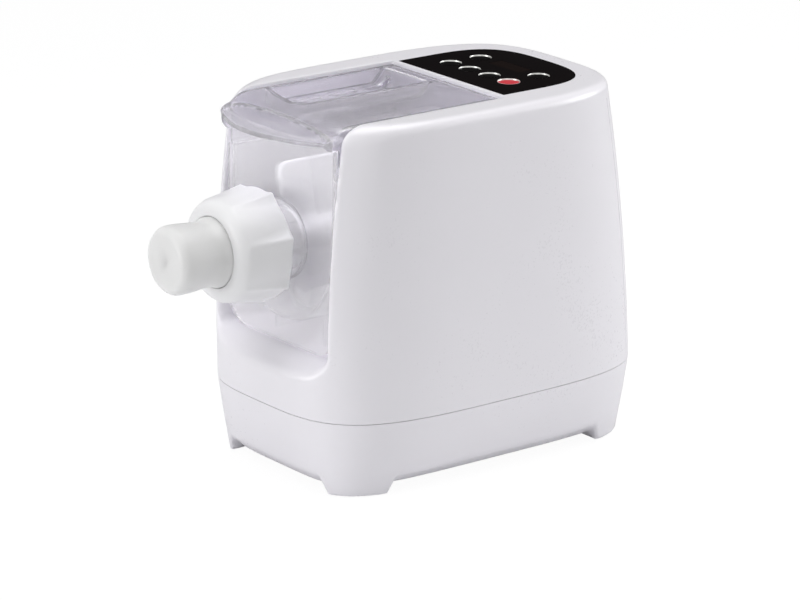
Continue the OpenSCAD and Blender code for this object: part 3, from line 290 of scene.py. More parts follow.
def new_group(name, inputs, outputs):
    """A shader node group with named inputs (their values) and outputs (their socket types)."""
    group = bpy.data.node_groups.new(name, "ShaderNodeTree")
    for key, item in inputs.items():
        kind = "NodeSocketColor" if isinstance(item, tuple) else "NodeSocketFloat"
        group.interface.new_socket(key, in_out="INPUT", socket_type=kind).default_value = item
    for key, kind in outputs.items():
        group.interface.new_socket(key, in_out="OUTPUT", socket_type=kind)
    return group, group.nodes.new("NodeGroupInput").outputs, group.nodes.new("NodeGroupOutput").inputs


# The skin of a moulding: a faint ripple left by the tool, a fine grain and a slight change of tone.
moulded, given, result = new_group(
    "moulded_skin", {"Colour": (0.8, 0.8, 0.8, 1), "Roughness": 0.3, "Ripple": 1.0, "Tone": 0.03},
    {"Colour": "NodeSocketColor", "Roughness": "NodeSocketFloat", "Height": "NodeSocketFloat"})
coords = value_node(moulded, "ShaderNodeTexCoord").outputs["Object"]
broad = value_node(moulded, "ShaderNodeTexNoise", {"Vector": coords, "Scale": 14, "Detail": 3})
fine = value_node(moulded, "ShaderNodeTexNoise", {"Vector": coords, "Scale": 520, "Detail": 2})
ripple = value_node(moulded, "ShaderNodeTexNoise", {"Vector": coords, "Scale": 90, "Detail": 1})
darker = value_node(moulded, "ShaderNodeMath", {0: broad.outputs["Fac"], 1: given["Tone"]},
                    operation="MULTIPLY")
lighter = value_node(moulded, "ShaderNodeMath", {0: 1.0, 1: darker.outputs[0]}, operation="SUBTRACT")
toned = value_node(moulded, "ShaderNodeMix", {"Factor": 1.0, "A": given["Colour"], "B": lighter.outputs[0]},
                   data_type="RGBA", blend_type="MULTIPLY")
uneven = value_node(moulded, "ShaderNodeMath", {0: fine.outputs["Fac"], 1: 0.10, 2: given["Roughness"]},
                    operation="MULTIPLY_ADD")
smeared = value_node(moulded, "ShaderNodeMath", {0: broad.outputs["Fac"], 1: 0.08, 2: uneven.outputs[0]},
                     operation="MULTIPLY_ADD")
settled = value_node(moulded, "ShaderNodeMath", {0: smeared.outputs[0], 1: 0.09}, operation="SUBTRACT")
grained = value_node(moulded, "ShaderNodeMath", {0: fine.outputs["Fac"], 1: 0.25, 2: ripple.outputs["Fac"]},
                     operation="MULTIPLY_ADD")
height = value_node(moulded, "ShaderNodeMath", {0: grained.outputs[0], 1: given["Ripple"]},
                    operation="MULTIPLY")
for key, item in {"Colour": toned.outputs[2], "Roughness": settled.outputs[0],
                  "Height": height.outputs[0]}.items():
    moulded.links.new(item, result[key])


def plastic(name, colour, roughness, ripple=1.0, tone=0.03, depth=0.02, **shader):
    """A moulded plastic; what is the same all over is set on the shader itself."""
    material = bpy.data.materials.new(name)
    material.use_nodes = True
    tree = material.node_tree
    main = tree.nodes["Principled BSDF"]
    surface = value_node(tree, "ShaderNodeGroup", node_tree=moulded)
    surface.inputs["Colour"].default_value = (*colour, 1)
    surface.inputs["Roughness"].default_value = roughness
    surface.inputs["Ripple"].default_value = ripple
    surface.inputs["Tone"].default_value = tone
    bump = value_node(tree, "ShaderNodeBump", {"Height": surface.outputs["Height"], "Distance": depth * mm,
                                               "Strength": 0.5})
    tree.links.new(surface.outputs["Colour"], main.inputs["Base Color"])
    tree.links.new(surface.outputs["Roughness"], main.inputs["Roughness"])
    tree.links.new(bump.outputs["Normal"], main.inputs["Normal"])
    for key, item in shader.items():
        main.inputs[key.replace("_", " ")].default_value = item
    return material


white_abs = plastic("white_abs", (0.86, 0.845, 0.885), 0.30, IOR=1.52, Coat_Weight=0.15, Coat_Roughness=0.2)


def base_field(x, y, z):
    side = skin(x, y, z)
    lean_in = bevel_in / (bevel_h - skirt_h)
    bevel = (side + (bevel_h - z) * lean_in) / math.hypot(1, lean_in)
    body = both(both(side, bevel, 2.5), skirt_h - z, 1.2)
    spread = foot_flare * (z - foot_low) / (bevel_h - foot_low)
    across = foot_w / 2 - foot_across - spread - np.abs(x)
    along = np.where(y < 0, foot_front - foot_along - spread + y, foot_rear - foot_along - spread - y)
    foot = both(both(side, both(across, along, 4), 3), foot_low - z, 1.5)
    solid = either(body, both(foot, z - bevel_h, 1), 2)
    inner = both(both(side + wall, bevel + wall, 2), floor_h - z, 2)
    return both(without(solid, inner, 0.5), z - seam_h - 2, 0.1)


beyond = [(-150, -250), (150, -250), (150, 250), (-150, 250)]
pad_x, pad_front, pad_rear, pad_r, pad_top = 70, -116, 120, 8.05, 4
post_x, post_front, post_rear, head_r, shank_r = 76, -92, 96, 3.8, 1.95
gland_x, gland_y, gland_h, gland_seat_r, gland_neck_r = -45, 152, 34, 10.3, 7
pad_places = [(sx * pad_x, y) for sx in (-1, 1) for y in (pad_front, pad_rear)]
post_places = [(sx * post_x, y) for sx in (-1, 1) for y in (post_front, post_rear)]
cuts = [prism(beyond, seam_h - seam_gap, seam_h + 60)]
cuts += [prism(disc_outline(px, py, pad_r), -1, pad_top) for px, py in pad_places]
cuts += [prism(disc_outline(px, py, head_r), -1, floor_h) for px, py in post_places]
cuts += [prism(disc_outline(px, py, shank_r), floor_h - 1, seam_h) for px, py in post_places]
cuts += [prism(disc_outline(gland_x, gland_h, gland_seat_r), gland_y, 175, "y"),
         prism(disc_outline(gland_x, gland_h, gland_neck_r), 130, gland_y + 1, "y")]
base_mesh = moulding("base", base_field, (-107, -160, foot_low), (107, 164, seam_h + 3), 2.0)
add_piece("base", combine(base_mesh, cuts), "root", white_abs, ["base_shell"])

# ---------------------------------------------------------------------------------------------------------
# Housing. The upper casing is moulded in one with the bay for the chamber: an open channel from the front
# and the top, with a scoop below it. Its edges are soft, and air slots are cut low in its back.
half_bay, bay_rear, bay_floor, lip_h, bay_round = 69, 20, 107, 93, 5
scoop_start, scoop_run, scoop_round, scoop_lead = -137, 30, 18, 8
deck_h, axis_h = 285.5, 189
edge_front, edge_top = 4.5, 1.4
panel_half, panel_front, panel_rear, panel_turn, panel_low = 64.5, 23, 118, 52, 287.6
panel_square = 3.2
panel_ledge, shaft_hole = 4, 14
hinge_y, hinge_h, pin_hole, pin_from, pin_to = 15.5, 284.5, 2.6, 66, 73
vents, vent_low, vent_pitch, vent_half, vent_r = 7, 79.5, 8, 37, 1.5
cover_reach, groove_w, groove_d, groove_rows = 26, 0.7, 0.8, 40


def bay_field(x, y, z):
    floor = bay_floor - (bay_floor - lip_h) * smooth(0, scoop_run, scoop_start - y)
    corner = bay_round + (scoop_round - bay_round) * smooth(-scoop_lead, scoop_run, scoop_start - y)
    return both(both(np.abs(x) - half_bay, floor - z, corner), y - bay_rear, 3)


def housing_field(x, y, z):
    side, void = skin(x, y, z), bay_field(x, y, z)
    half, front, rear, n = outline_at(z)
    ahead = np.clip(-(y - (rear - front) / 2) * 2 / (rear + front), 0, 1) ** n
    frontal = ahead / np.maximum(ahead + np.clip(np.abs(x) / half, 0, 1) ** n, 1e-3)
    top_round = side_round + (front_round - side_round) * smooth(0, 1, frontal)
    outer = both(side, z - body_h, top_round)
    hollow = without(both(side + wall, z - deck_h, top_round - 2), void - wall - 2, 2)
    edge = edge_top + (edge_front - edge_top) * smooth(0, 16, body_h - 4 - z)
    return both(without(without(outer, hollow, 0.5), void, edge), seam_h - 2 - z, 0.1)


def panel_outline(inset, steps=64):
    """Straight front edge, parallel sides and a rounded back."""
    half, deep = panel_half - inset, panel_rear - inset - panel_turn
    turn = np.linspace(0, math.pi, steps)
    c, s = np.cos(turn), np.clip(np.sin(turn), 0, 1)
    power = 2 / panel_square
    curve = [(half * math.copysign(abs(a) ** power, a), panel_turn + deep * b ** power) for a, b in zip(c, s)]
    return [(-half, panel_front + inset), (half, panel_front + inset)] + curve


def stadium(x, z, half_length, r, steps=8):
    turn = np.linspace(-math.pi / 2, math.pi / 2, steps)
    right_end = [(x + half_length - r + r * math.cos(t), z + r * math.sin(t)) for t in turn]
    return right_end + [(2 * x - a, 2 * z - b) for a, b in right_end]


cuts = [prism(beyond, 20, seam_h + seam_gap),
        prism(panel_outline(-0.15), panel_low, body_h + 5),
        prism(panel_outline(panel_ledge), deck_h - 20, body_h),
        prism(disc_outline(0, axis_h, shaft_hole), bay_rear - 4, bay_rear + wall + 3, "y")]
cuts += [prism(disc_outline(hinge_y, hinge_h, pin_hole), *sorted((sx * pin_from, sx * pin_to)), "x")
         for sx in (-1, 1)]
cuts += [prism(stadium(0, vent_low + vent_pitch * i, vent_half, vent_r), 130, 175, "y") for i in range(vents)]
# A fine groove marks the joint of the back cover. Its cutter is a chain of rings that follows the skin.
for sx in (-1, 1):
    rings = []
    for z in np.linspace(seam_h + 2, body_h - 13, groove_rows):
        half, front, rear, n = outline_at(z)
        y = rear - cover_reach
        x = half * (1 - (abs(y - (rear - front) / 2) * 2 / (rear + front)) ** n) ** (1 / n)
        rings += [(sx * (x - groove_d), y, z), (sx * (x + 3), y, z), (sx * (x + 3), y + groove_w, z),
                  (sx * (x - groove_d), y + groove_w, z)]
    last = 4 * (groove_rows - 1)
    faces = [(4 * k + i, 4 * k + (i + 1) % 4, 4 * k + 4 + (i + 1) % 4, 4 * k + 4 + i)
             for k in range(groove_rows - 1) for i in range(4)]
    faces += [(3, 2, 1, 0), (last, last + 1, last + 2, last + 3)]
    cuts.append(outward(mesh_of("groove", rings, faces)))
housing_mesh = moulding("housing", housing_field, (-107, -164, seam_h - 4), (107, 164, body_h), 2.0)
add_piece("housing", combine(housing_mesh, cuts), "root", white_abs, ["housing_shell"])

# ---------------------------------------------------------------------------------------------------------
# Control panel. A glossy black sheet let into the top, with six round buttons and a dark display window.
# Each button is dished: a bright sloping ring round a flat face. One of them is red, with its rim painted pale
# pink as a painted highlight.
black_panel = plastic("black_panel", (0.0075, 0.0062, 0.0065), 0.3, ripple=0.6, tone=0.2,
                      Specular_IOR_Level=0.0005)
window_black = plastic("window_black", (0.010, 0.0065, 0.006), 0.14, ripple=0.3, tone=0.1,
                       Specular_IOR_Level=0.001)
button_black = plastic("button_black", (0.007, 0.0062, 0.0065), 0.3, ripple=0.5, tone=0.2,
                       Specular_IOR_Level=0.0005)
button_red = plastic("button_red", (0.60, 0.05, 0.066), 0.3, ripple=0.5, tone=0.08,
                     Specular_IOR_Level=0.005)
button_silver = plastic("button_silver", (0.62, 0.62, 0.60), 0.35, ripple=0.4, tone=0.05, Metallic=1.0)
# The red button's rim is painted pale pink: a painted highlight, not the rim's own colour.
red_rim_painted_highlight = plastic("red_rim_painted_highlight", (0.75, 0.45, 0.46), 0.3, ripple=0.5)
button_r, row_front, row_rear, outer_x, inner_x = 8.9, 52, 82, 35.5, 12.2
buttons = {"power": (-outer_x, row_rear), "start": (outer_x, row_front), "menu": (-outer_x, row_front),
           "dough": (-inner_x, row_front), "pasta": (inner_x, row_front), "time": (outer_x, row_rear)}


def bevelled(mesh, width, segments=2, angle=40):
    """Rounds the sharp edges of a mesh."""
    work = bpy.data.objects.new("work", mesh)
    bpy.context.scene.collection.objects.link(work)
    change = work.modifiers.new("edges", "BEVEL")
    change.width, change.segments, change.limit_method = width * mm, segments, "ANGLE"
    change.angle_limit, change.use_clamp_overlap = math.radians(angle), True
    bpy.context.view_layer.update()
    result = bpy.data.meshes.new_from_object(work.evaluated_get(bpy.context.evaluated_depsgraph_get()))
    bpy.data.objects.remove(work)
    result.shade_smooth()
    result.set_sharp_from_angle(angle=math.radians(15))
    return result


def turned(name, profile, centre, axis="z", steps=64, crease=35):
    """A turned form: (radius, height) points spun round an axis through a centre; its ends may sit on it."""
    turn = np.linspace(0, 2 * math.pi, steps, endpoint=False)
    order = {"z": (0, 1, 2), "y": (0, 2, 1), "x": (1, 2, 0)}[axis]
    points, rows, faces = [], [], []
    for r, h in profile:
        at_axis = r < 1e-6
        rows.append((len(points), at_axis))
        for t in turn[:1] if at_axis else turn:
            p = [0.0, 0.0, 0.0]
            p[order[0]], p[order[1]], p[order[2]] = r * math.cos(t), r * math.sin(t), h
            points.append([a + b for a, b in zip(p, centre)])
    for (a, a_axis), (b, b_axis) in zip(rows, rows[1:]):
        for i in range(steps):
            j = (i + 1) % steps
            faces.append([a] + [b + i, b + j] if a_axis else [a + i, b, a + j] if b_axis
                         else [a + i, b + i, b + j, a + j])
    if not rows[0][1] or not rows[-1][1]:
        a, b = rows[-1][0], rows[0][0]
        faces += [[a + i, b + i, b + (i + 1) % steps, a + (i + 1) % steps] for i in range(steps)]
    return outward(mesh_of(name, points, faces, crease))


def corner(r, h, radius, start, end, steps=5):
    """Points of a round corner in a turned profile, centred at (r, h)."""
    return [(r + radius * math.cos(t), h + radius * math.sin(t))
            for t in np.radians(np.linspace(start, end, steps))]


window_half, window_front, window_rear, window_gap, window_narrow = 19, 76, 90, 0.2, 0.985
under_panel, over_panel = 280, 300
window_hole = [(-window_half, window_front), (window_half, window_front),
               (window_half, window_rear), (-window_half, window_rear)]
panel_mesh = combine(prism(panel_outline(0), panel_low, body_h + 0.25),
                     [prism(disc_outline(px, py, button_r + 0.25), under_panel, over_panel)
                      for px, py in buttons.values()] + [prism(window_hole, under_panel, over_panel)])
add_piece("panel", bevelled(panel_mesh, 0.35), "root", black_panel, ["control_panel"])
window_outline = [(x * window_narrow, y + (window_gap if y == window_front else -window_gap))
                  for x, y in window_hole]
window_mesh = bevelled(prism(window_outline, panel_low, body_h + 0.2), 0.25)
add_piece("display", window_mesh, "root", window_black, ["display_window"])
top, low, face_r, slope_r, rim_r = body_h + 0.4, 286, 8.3, 8.66, 8.69
dish = top - 1.1
face = [(0, dish + 0.2), (face_r - 2, dish + 0.1), (face_r, dish), (face_r, low), (0, low)]
slope = [(face_r + 0.02, dish - 0.3), (face_r + 0.02, dish), (slope_r, top - 0.03), (slope_r + 0.02, dish)]
rim = [(rim_r, low), (rim_r, top - 0.03), (button_r - 0.1, top), (button_r, top - 0.15), (button_r, low)]
for label, (px, py) in buttons.items():
    node, at, red = label + "_button", (px, py, 0), label == "start"
    add_piece(label + "_face", turned(label, face, at), node, button_red if red else button_black, [node])
    add_piece(label + "_slope", turned(label, slope, at), node, button_silver)
    add_piece(label + "_rim", turned(label, rim, at), node, red_rim_painted_highlight if red else button_black)

# ---------------------------------------------------------------------------------------------------------
# Nozzle nut. A glossy white nut, turned and slightly conical, with seven grip fins that rise towards its
# back. Its plain round front has a mouth in which the cap is plugged.
nut_front, nut_rear, nut_face = 204, 160, 198.8
nut_front_r, nut_rear_r, nut_round, mouth_r, nut_bore = 40, 43.2, 9, 27.4, 34.3
fins, fin_angle, fin_front, fin_rise, fin_tip, fin_slope = 7, math.radians(17), 196, 3.6, 0.7, 1.5
nut_white = plastic("nut_white", (0.84, 0.84, 0.85), 0.33, ripple=0.8, IOR=1.5)


def nut_field(x, y, z):
    r, a, ahead = np.hypot(x, z - axis_h), np.arctan2(z - axis_h, x), -y
    slope = (nut_rear_r - nut_front_r) / (nut_front - nut_round - nut_rear)
    flank = (r - nut_front_r - slope * (nut_front - nut_round - ahead)) / math.hypot(1, slope)
    solid = both(both(flank, ahead - nut_front, nut_round), nut_rear - ahead, 0.8)
    pitch = 2 * math.pi / fins
    turn = (a - fin_angle + pitch / 2) % pitch - pitch / 2
    tip_r = nut_rear_r + fin_rise
    crest = tip_r - (tip_r - nut_front_r) * (ahead - nut_rear) / (fin_front - nut_rear)
    fin = (np.abs(r * np.sin(turn)) - fin_tip - (crest - r) * fin_slope) / math.hypot(1, fin_slope)
    fin = both(both(fin, r - crest, 0.5), nut_rear - ahead, 0.8)
    solid = either(solid, both(fin, ahead - fin_front, 0.5), 2)
    solid = without(solid, r - mouth_r, 1.5)
    return without(solid, both(r - nut_bore, ahead - nut_face, 1), 0.6)


nut_mesh = moulding("nut", nut_field, (-48, -nut_front, 141), (48, -nut_rear, 237), 1.2)
add_piece("nut", nut_mesh, "nut", nut_white, ["lock_nut"])

# ---------------------------------------------------------------------------------------------------------
# Nozzle cap. A milky hollow cap that plugs the nut's mouth while the machine isn't used.
# It narrows to a waist in front of the nut and ends in a rounded, slightly dished face.
cap_milky = plastic("cap_milky", (0.83, 0.83, 0.825), 0.38, ripple=0.6, Subsurface_Weight=0.3,
                    Subsurface_Scale=0.01, Subsurface_Radius=(1, 1, 1), IOR=1.48)
cap_front, cap_end_r, cap_waist_r, cap_plug_r, cap_wall, cap_round = 247, 26.5, 25, 27.1, 2, 8
cap_waist, cap_swell, cap_dish_r, cap_dish = nut_front + 9, 22, 12, 0.6
cap_profile = [(cap_plug_r - cap_wall, nut_face), (cap_plug_r, nut_face), (cap_plug_r, nut_front)]
cap_profile += [(cap_waist_r + (cap_plug_r - cap_waist_r) * (1 - t) ** 2,
                 nut_front + (cap_waist - nut_front) * t) for t in np.linspace(0.1, 1, 5)]
cap_profile += [(cap_waist_r + (cap_end_r - cap_waist_r) * smooth(0, 1, t), cap_waist + t * cap_swell)
                for t in np.linspace(0.1, 1, 8)]
cap_profile += corner(cap_end_r - cap_round, cap_front - cap_round, cap_round, 0, 84, 9)
cap_profile += [(cap_dish_r, cap_front - cap_dish / 2), (0, cap_front - cap_dish),
                (0, cap_front - cap_dish - cap_wall), (cap_dish_r, cap_front - cap_dish / 2 - cap_wall)]
cap_profile += corner(cap_end_r - cap_round, cap_front - cap_round, cap_round - cap_wall, 84, 0, 7)
cap_profile += [(cap_waist_r - cap_wall, cap_waist), (cap_plug_r - cap_wall, nut_front)]
cap_mesh = turned("cap", [(r, -h) for r, h in cap_profile], (0, 0, axis_h), "y", steps=96)
add_piece("cap", cap_mesh, "cap", cap_milky, ["nozzle_cap"])

# ---------------------------------------------------------------------------------------------------------
# Front plate. A clear plate that closes the chamber, moulded in one with the threaded barrel.
# Clear plastic lets light through to what lies behind it, so its shadow is nearly clear too.


def clear_plastic(name, colour, shadow_colour, roughness, alpha, clearness):
    """Clear plastic: a glassy shader, thinned by its alpha, with a tinted clear one for its shadow."""
    material = plastic(name, colour, roughness, ripple=0.5, tone=0.02, depth=0.01, IOR=1.49,
                       Transmission_Weight=clearness, Alpha=alpha)
    tree = material.node_tree
    light = value_node(tree, "ShaderNodeLightPath")
    shadow = value_node(tree, "ShaderNodeBsdfTransparent", {"Color": (*shadow_colour, 1)})
    mixed = value_node(tree, "ShaderNodeMixShader", {0: light.outputs["Is Shadow Ray"],
                                                     1: tree.nodes["Principled BSDF"].outputs[0],
                                                     2: shadow.outputs[0]})
    tree.links.new(mixed.outputs[0], tree.nodes["Material Output"].inputs["Surface"])
    return material


clear_san = clear_plastic("clear_san", (0.985, 0.98, 0.99), (0.99, 0.985, 0.995), 0.04, 0.75, 0.78)
plate_out, plate_in, plate_low, plate_top, half_plate, plate_round = 140, 136, 108, 272, 64.6, 24
plate_step, rim_h = 3.4, 251
barrel_bore, barrel_r, barrel_out = 25, 30.5, 193.5
thread_r, thread_pitch, thread_half, ridges = 34, 9, 2, 3


def plate_field(x, y, z):
    r, ahead = np.hypot(x, z - axis_h), -y
    half = half_plate + plate_step * smooth(0, 3, rim_h - z)
    plate = both(both(np.abs(x) - half, plate_low - z, plate_round), z - plate_top, 1)
    plate = both(plate, np.abs(ahead - (plate_out + plate_in) / 2) - (plate_out - plate_in) / 2, 0.8)
    barrel = both(r - barrel_r, np.abs(ahead - (plate_in + barrel_out) / 2) - (barrel_out - plate_in) / 2, 0.6)
    solid = either(plate, barrel, 2)
    for i in range(ridges):
        ridge = both(r - thread_r, np.abs(ahead - nut_rear - 6 - i * thread_pitch) - thread_half, 1)
        solid = either(solid, ridge, 0.8)
    return without(solid, r - barrel_bore, 0.6)


plate_mesh = moulding("front_plate", plate_field, (-68, -barrel_out, plate_low),
                      (68, -plate_in, plate_top), 1.2)
add_piece("front_plate_clear", plate_mesh, "chamber", clear_san, ["front_plate"])

# ---------------------------------------------------------------------------------------------------------
# Mixing chamber. A clear U-shaped tub with a rim, a back wall and two runners, open to the front plate.
tub_r, tub_wall, tub_rear, rim_half, seal_r = 61, 2.5, 17.5, 68, 10
runner_x, runner_t, runner_low, runner_top, runner_front = 30, 2.5, 107.3, 150, -100


def tub_field(x, y, z):
    def trough(r):
        return np.where(z > axis_h, np.abs(x), np.hypot(x, z - axis_h)) - r

    length = both(-plate_in - y, y - tub_rear, 0.3)
    outer = both(both(trough(tub_r + tub_wall), z - rim_h, 0.8), length, 0.5)
    rim = cuboid(x, y, z, (-rim_half, -plate_in, rim_h - tub_wall), (rim_half, tub_rear, rim_h), 0.8)
    reach = both(z - runner_top, both(runner_front - y, y - tub_rear, 0.3), 0.3)
    runner = both(both(np.abs(np.abs(x) - runner_x) - runner_t / 2, runner_low - z, 0.5), reach, 0.3)
    solid = either(either(outer, rim, 1.5), runner, 1)
    inner = both(trough(tub_r), y - tub_rear + tub_wall, 3)
    solid = without(solid, inner, 0.5)
    return without(solid, np.hypot(x, z - axis_h) - seal_r, 0.5)


tub_mesh = moulding("tub", tub_field, (-rim_half, -plate_in, runner_low), (rim_half, tub_rear, rim_h), 1.6)
add_piece("tub", tub_mesh, "chamber", clear_san, ["mixing_chamber"])

# ---------------------------------------------------------------------------------------------------------
# Kneading paddle. A white moulding: a hub with three wings, one upright, one hanging and one slanting at the
# rear, and the screw that presses dough down the barrel. The hub's square socket takes the output shaft.
hub_r, hub_rear, wing_r, wing_t, wing_front, wing_rear = 12, 11.5, 57, 6, -132, -4
tall_wing_l, low_wing_l, wing_round, wing_lean = 66, 38, 9, 12
screw_core, screw_r, flight_t, screw_tip, flight_turns = 9, 23, 7, -189.5, 1.75
flight_span, flight_slope, socket_half, socket_front = 1.4, 0.8, 4.15, -7
wings = [(wing_front, tall_wing_l, wing_round, -wing_lean),
         (wing_front, low_wing_l, low_wing_l / 2, 180 - wing_lean),
         (wing_front + tall_wing_l, wing_rear - wing_front - tall_wing_l, wing_round, 180 + 2 * wing_lean)]
paddle_white = plastic("paddle_white", (0.84, 0.84, 0.86), 0.4, ripple=0.8)


def paddle_field(x, y, z):
    r, h = np.hypot(x, z - axis_h), z - axis_h
    solid = both(r - hub_r, both(wing_front - y, y - hub_rear, 1), 1.5)
    for start, long, round_r, lean_deg in wings:
        c, s = math.cos(math.radians(lean_deg)), math.sin(math.radians(lean_deg))
        across, out = x * c - h * s, x * s + h * c
        plan = both(both(start - y, y - start - long, 0.1), out - wing_r, round_r - 0.5)
        wing = both(both(plan, -out, 0.1), np.abs(across) - wing_t / 2, 2)
        solid = either(solid, wing, 5)
    turn = np.arctan2(h, x) - (wing_front - y) / (wing_front - screw_tip) * 2 * math.pi * flight_turns
    turn = (turn + math.pi) % (2 * math.pi) - math.pi
    off_flight = np.where(np.abs(turn) < flight_span, np.abs(r * np.sin(turn)), r)
    flight = both(off_flight * flight_slope - flight_t / 2, r - screw_r, 1)
    screw = both(either(r - screw_core, flight, 2), both(screw_tip - y, y - wing_front - 4, 0.5), 1)
    solid = either(solid, screw, 1)
    socket = cuboid(x, y, z, (-socket_half, socket_front, axis_h - socket_half),
                    (socket_half, 14, axis_h + socket_half), 0.3)
    return without(solid, socket, 0.3)


paddle_mesh = moulding("paddle", paddle_field, (-26, screw_tip, 130), (26, 12, 248), 1.3)
add_piece("paddle", paddle_mesh, "kneader", paddle_white, ["kneading_paddle"])

# ---------------------------------------------------------------------------------------------------------
# Lid. One clear moulding: flat top with a sunk pour tray and slots on the left, rolled front, and a bowed
# grip lip with an ear at each end. It swings on two pins near its back edge, which is round to clear the bay.
half_lid, lid_top, lid_rear, lid_front, lid_t = 67.5, 288.5, 19.5, 142, 2.4
lid_edge, lid_low, skirt_low, skirt_start = 4, 251.6, 272.6, 135.7
tray_side, tray_front, tray_rear, tray_floor, tray_round = -7, -117, 7.5, 276.5, 14
roll_start, crease_out, grip_out, grip_low, crease_h = 128.5, 161, 172, 275.5, 279.5
roll_bow, crease_bow, grip_bow, tray_bow, band_fall = 17, 22, 25, 15, 1.4
roll_power, roll_more, side_edge, skirt_t = 2.2, 2.5, 3.5, 0.3
slots, slot_x, slot_start, slot_w, slot_l, slot_pitch = 3, -52, -89, 6, 26, 34
ear_x, ear_y, ear_h, ear_t, ear_l, ear_right, ear_left = 65.4, -140.5, 281, 2.6, 7, 5, 10
pin_r, pin_right, pin_left = 2.5, 79, 71.5


def lid_top_at(x, y):
    """Height of the lid's upper face: flat, then a bowed roll down to a crease, then the band of the lip."""
    t = np.clip(np.abs(x) / half_lid, 0, 1) ** 2
    start, crease, edge = -roll_start + roll_bow * t, -crease_out + crease_bow * t, -grip_out + grip_bow * t
    roll = np.clip((start - y) / (start - crease), 0, 1) ** (roll_power + roll_more * t * t)
    band = np.clip((crease - y) / (crease - edge), 0, 1)
    return lid_top - (lid_top - crease_h) * roll - band_fall * band, edge


def lid_form(x, y, z, inset):
    top, edge = lid_top_at(x, y)
    form = both((z - top) * 0.92 + inset, (edge - y) * 0.9 + inset, max(2.2 - inset, 0.3))
    form = both(form, y - lid_rear + inset, lid_edge - inset)
    return both(form, np.abs(x) - half_lid + inset, side_edge - inset)


def tray_form(x, y, z, grow):
    front = tray_front + tray_bow * np.clip(x / half_lid, -1, 0) ** 2
    back = (y - tray_rear - grow + (tray_floor - grow + 12 - z) * 0.9) / math.hypot(1, 0.9)
    plan = both(x - tray_side - grow, front - grow - y, tray_round + grow)
    plan = both(plan, both(-half_lid + lid_t - grow - x, back, 3), 3)
    return both(plan, tray_floor - grow - z, 2.5)


def lid_field(x, y, z):
    ahead = -lid_front - y
    low = np.where(y > -skirt_start, lid_low, skirt_low)
    low = np.where(ahead > 0, grip_low, low)
    shell = lid_form(x, y, z, 0)
    outer = both(shell, low - z, 0.8)
    lip_hollow = both(lid_form(x, y, z, lid_t), -ahead, skirt_t)
    hollow = both(lid_form(x, y, z, lid_t), -lid_front + lid_t - y, 0.5)
    hollow = without(hollow, both(tray_form(x, y, z, lid_t), shell, 1), 1)
    solid = without(without(outer, hollow, 0.3), lip_hollow, 0.5)
    solid = without(solid, both(tray_form(x, y, z, 0), z - 320, 1), 0.4)
    for i in range(slots):
        middle = slot_start + slot_l / 2 + i * slot_pitch
        slot = np.hypot(x - slot_x, np.maximum(np.abs(y - middle) - slot_l / 2 + slot_w / 2, 0)) - slot_w / 2
        solid = without(solid, both(slot, np.abs(z - tray_floor) - 6, 0.5), 0.4)
    hang = np.where(x > 0, ear_right, ear_left)
    ear = [(np.abs(x) - ear_x) / ear_t, (y - ear_y) / ear_l, (z - ear_h + hang) / hang]
    solid = either(solid, (np.sqrt(ear[0] ** 2 + ear[1] ** 2 + ear[2] ** 2) - 1) * ear_t, 2)
    reach = np.where(x > 0, pin_right, pin_left)
    along = both(pin_from - np.abs(x), np.abs(x) - reach, 0.3)
    pin = both(np.hypot(y - hinge_y, z - hinge_h) - pin_r, along, 0.4)
    return either(solid, pin, 0.5)


# The lid is a darker, greyer copy of the clear plastic, with a darker shadow tint: painted shade for the dim
# chamber seen through it.
lid_san_painted_shade = clear_plastic("lid_san_painted_shade", (0.88, 0.865, 0.91), (0.84, 0.83, 0.87), 0.05, 0.85, 0.95)
lid_mesh = moulding("lid", lid_field, (-72, -grip_out, lid_low), (80, lid_rear, lid_top), 1.1)
add_piece("lid_clear", lid_mesh, "lid_body", lid_san_painted_shade, ["lid"])

# ---------------------------------------------------------------------------------------------------------
# Works. Gears, shafts, bushes, motor, boards and fasteners keep their own solids and get their finishes here.


def metal(name, colour, roughness):
    """A bare metal: the same fine skin with less ripple and a stronger change of tone."""
    return plastic(name, colour, roughness, ripple=0.3, tone=0.12, Metallic=1.0)


finishes = {
    "steel_zinc": (metal("steel_zinc", (0.60, 0.61, 0.62), 0.32),
                   "base_screws panel_screws gearbox_screws motor_screws gearbox_stand motor_cradle"),
    "steel_ground": (metal("steel_ground", (0.66, 0.66, 0.67), 0.2),
                     "output_shaft idler_shaft motor_shaft motor_pinion idler_pinion"),
    "motor_steel": (metal("motor_steel", (0.5, 0.51, 0.53), 0.36), "motor_can motor_end_caps"),
    "alloy": (metal("alloy", (0.56, 0.57, 0.59), 0.45), "gearbox_case gearbox_cover"),
    "bronze": (metal("bronze", (0.56, 0.36, 0.17), 0.4), "output_bushes idler_bushes"),
    "copper": (metal("copper", (0.5, 0.22, 0.1), 0.4), "motor_core"),
    "ferrite": (plastic("ferrite", (0.05, 0.05, 0.055), 0.6, ripple=2), "motor_magnets"),
    "gear_nylon": (plastic("gear_nylon", (0.68, 0.65, 0.56), 0.45), "output_gear idler_gear lid_cam"),
    "disc_acetal": (plastic("disc_acetal", (0.80, 0.79, 0.76), 0.4), "shaping_disc"),
    "rubber": (plastic("rubber", (0.05, 0.05, 0.052), 0.7, ripple=2, tone=0.2),
               "foot_pads shaft_seal chamber_seal"),
    "gland_nylon": (plastic("gland_nylon", (0.03, 0.03, 0.032), 0.5, ripple=1.5),
                    "cord_gland cord_clamp motor_fan lid_switch display_module power_parts"),
    "board": (plastic("board", (0.03, 0.16, 0.07), 0.35, ripple=1.5, tone=0.2), "panel_board power_board"),
    "cable": (plastic("cable", (0.5, 0.48, 0.44), 0.5), "ribbon_cable"),
    "plunger_red": (plastic("plunger_red", (0.5, 0.03, 0.03), 0.35), "switch_plunger"),
}
for material, nodes in finishes.values():
    for node in nodes.split():
        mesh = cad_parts[node].data
        mesh.materials.clear()
        mesh.materials.append(material)

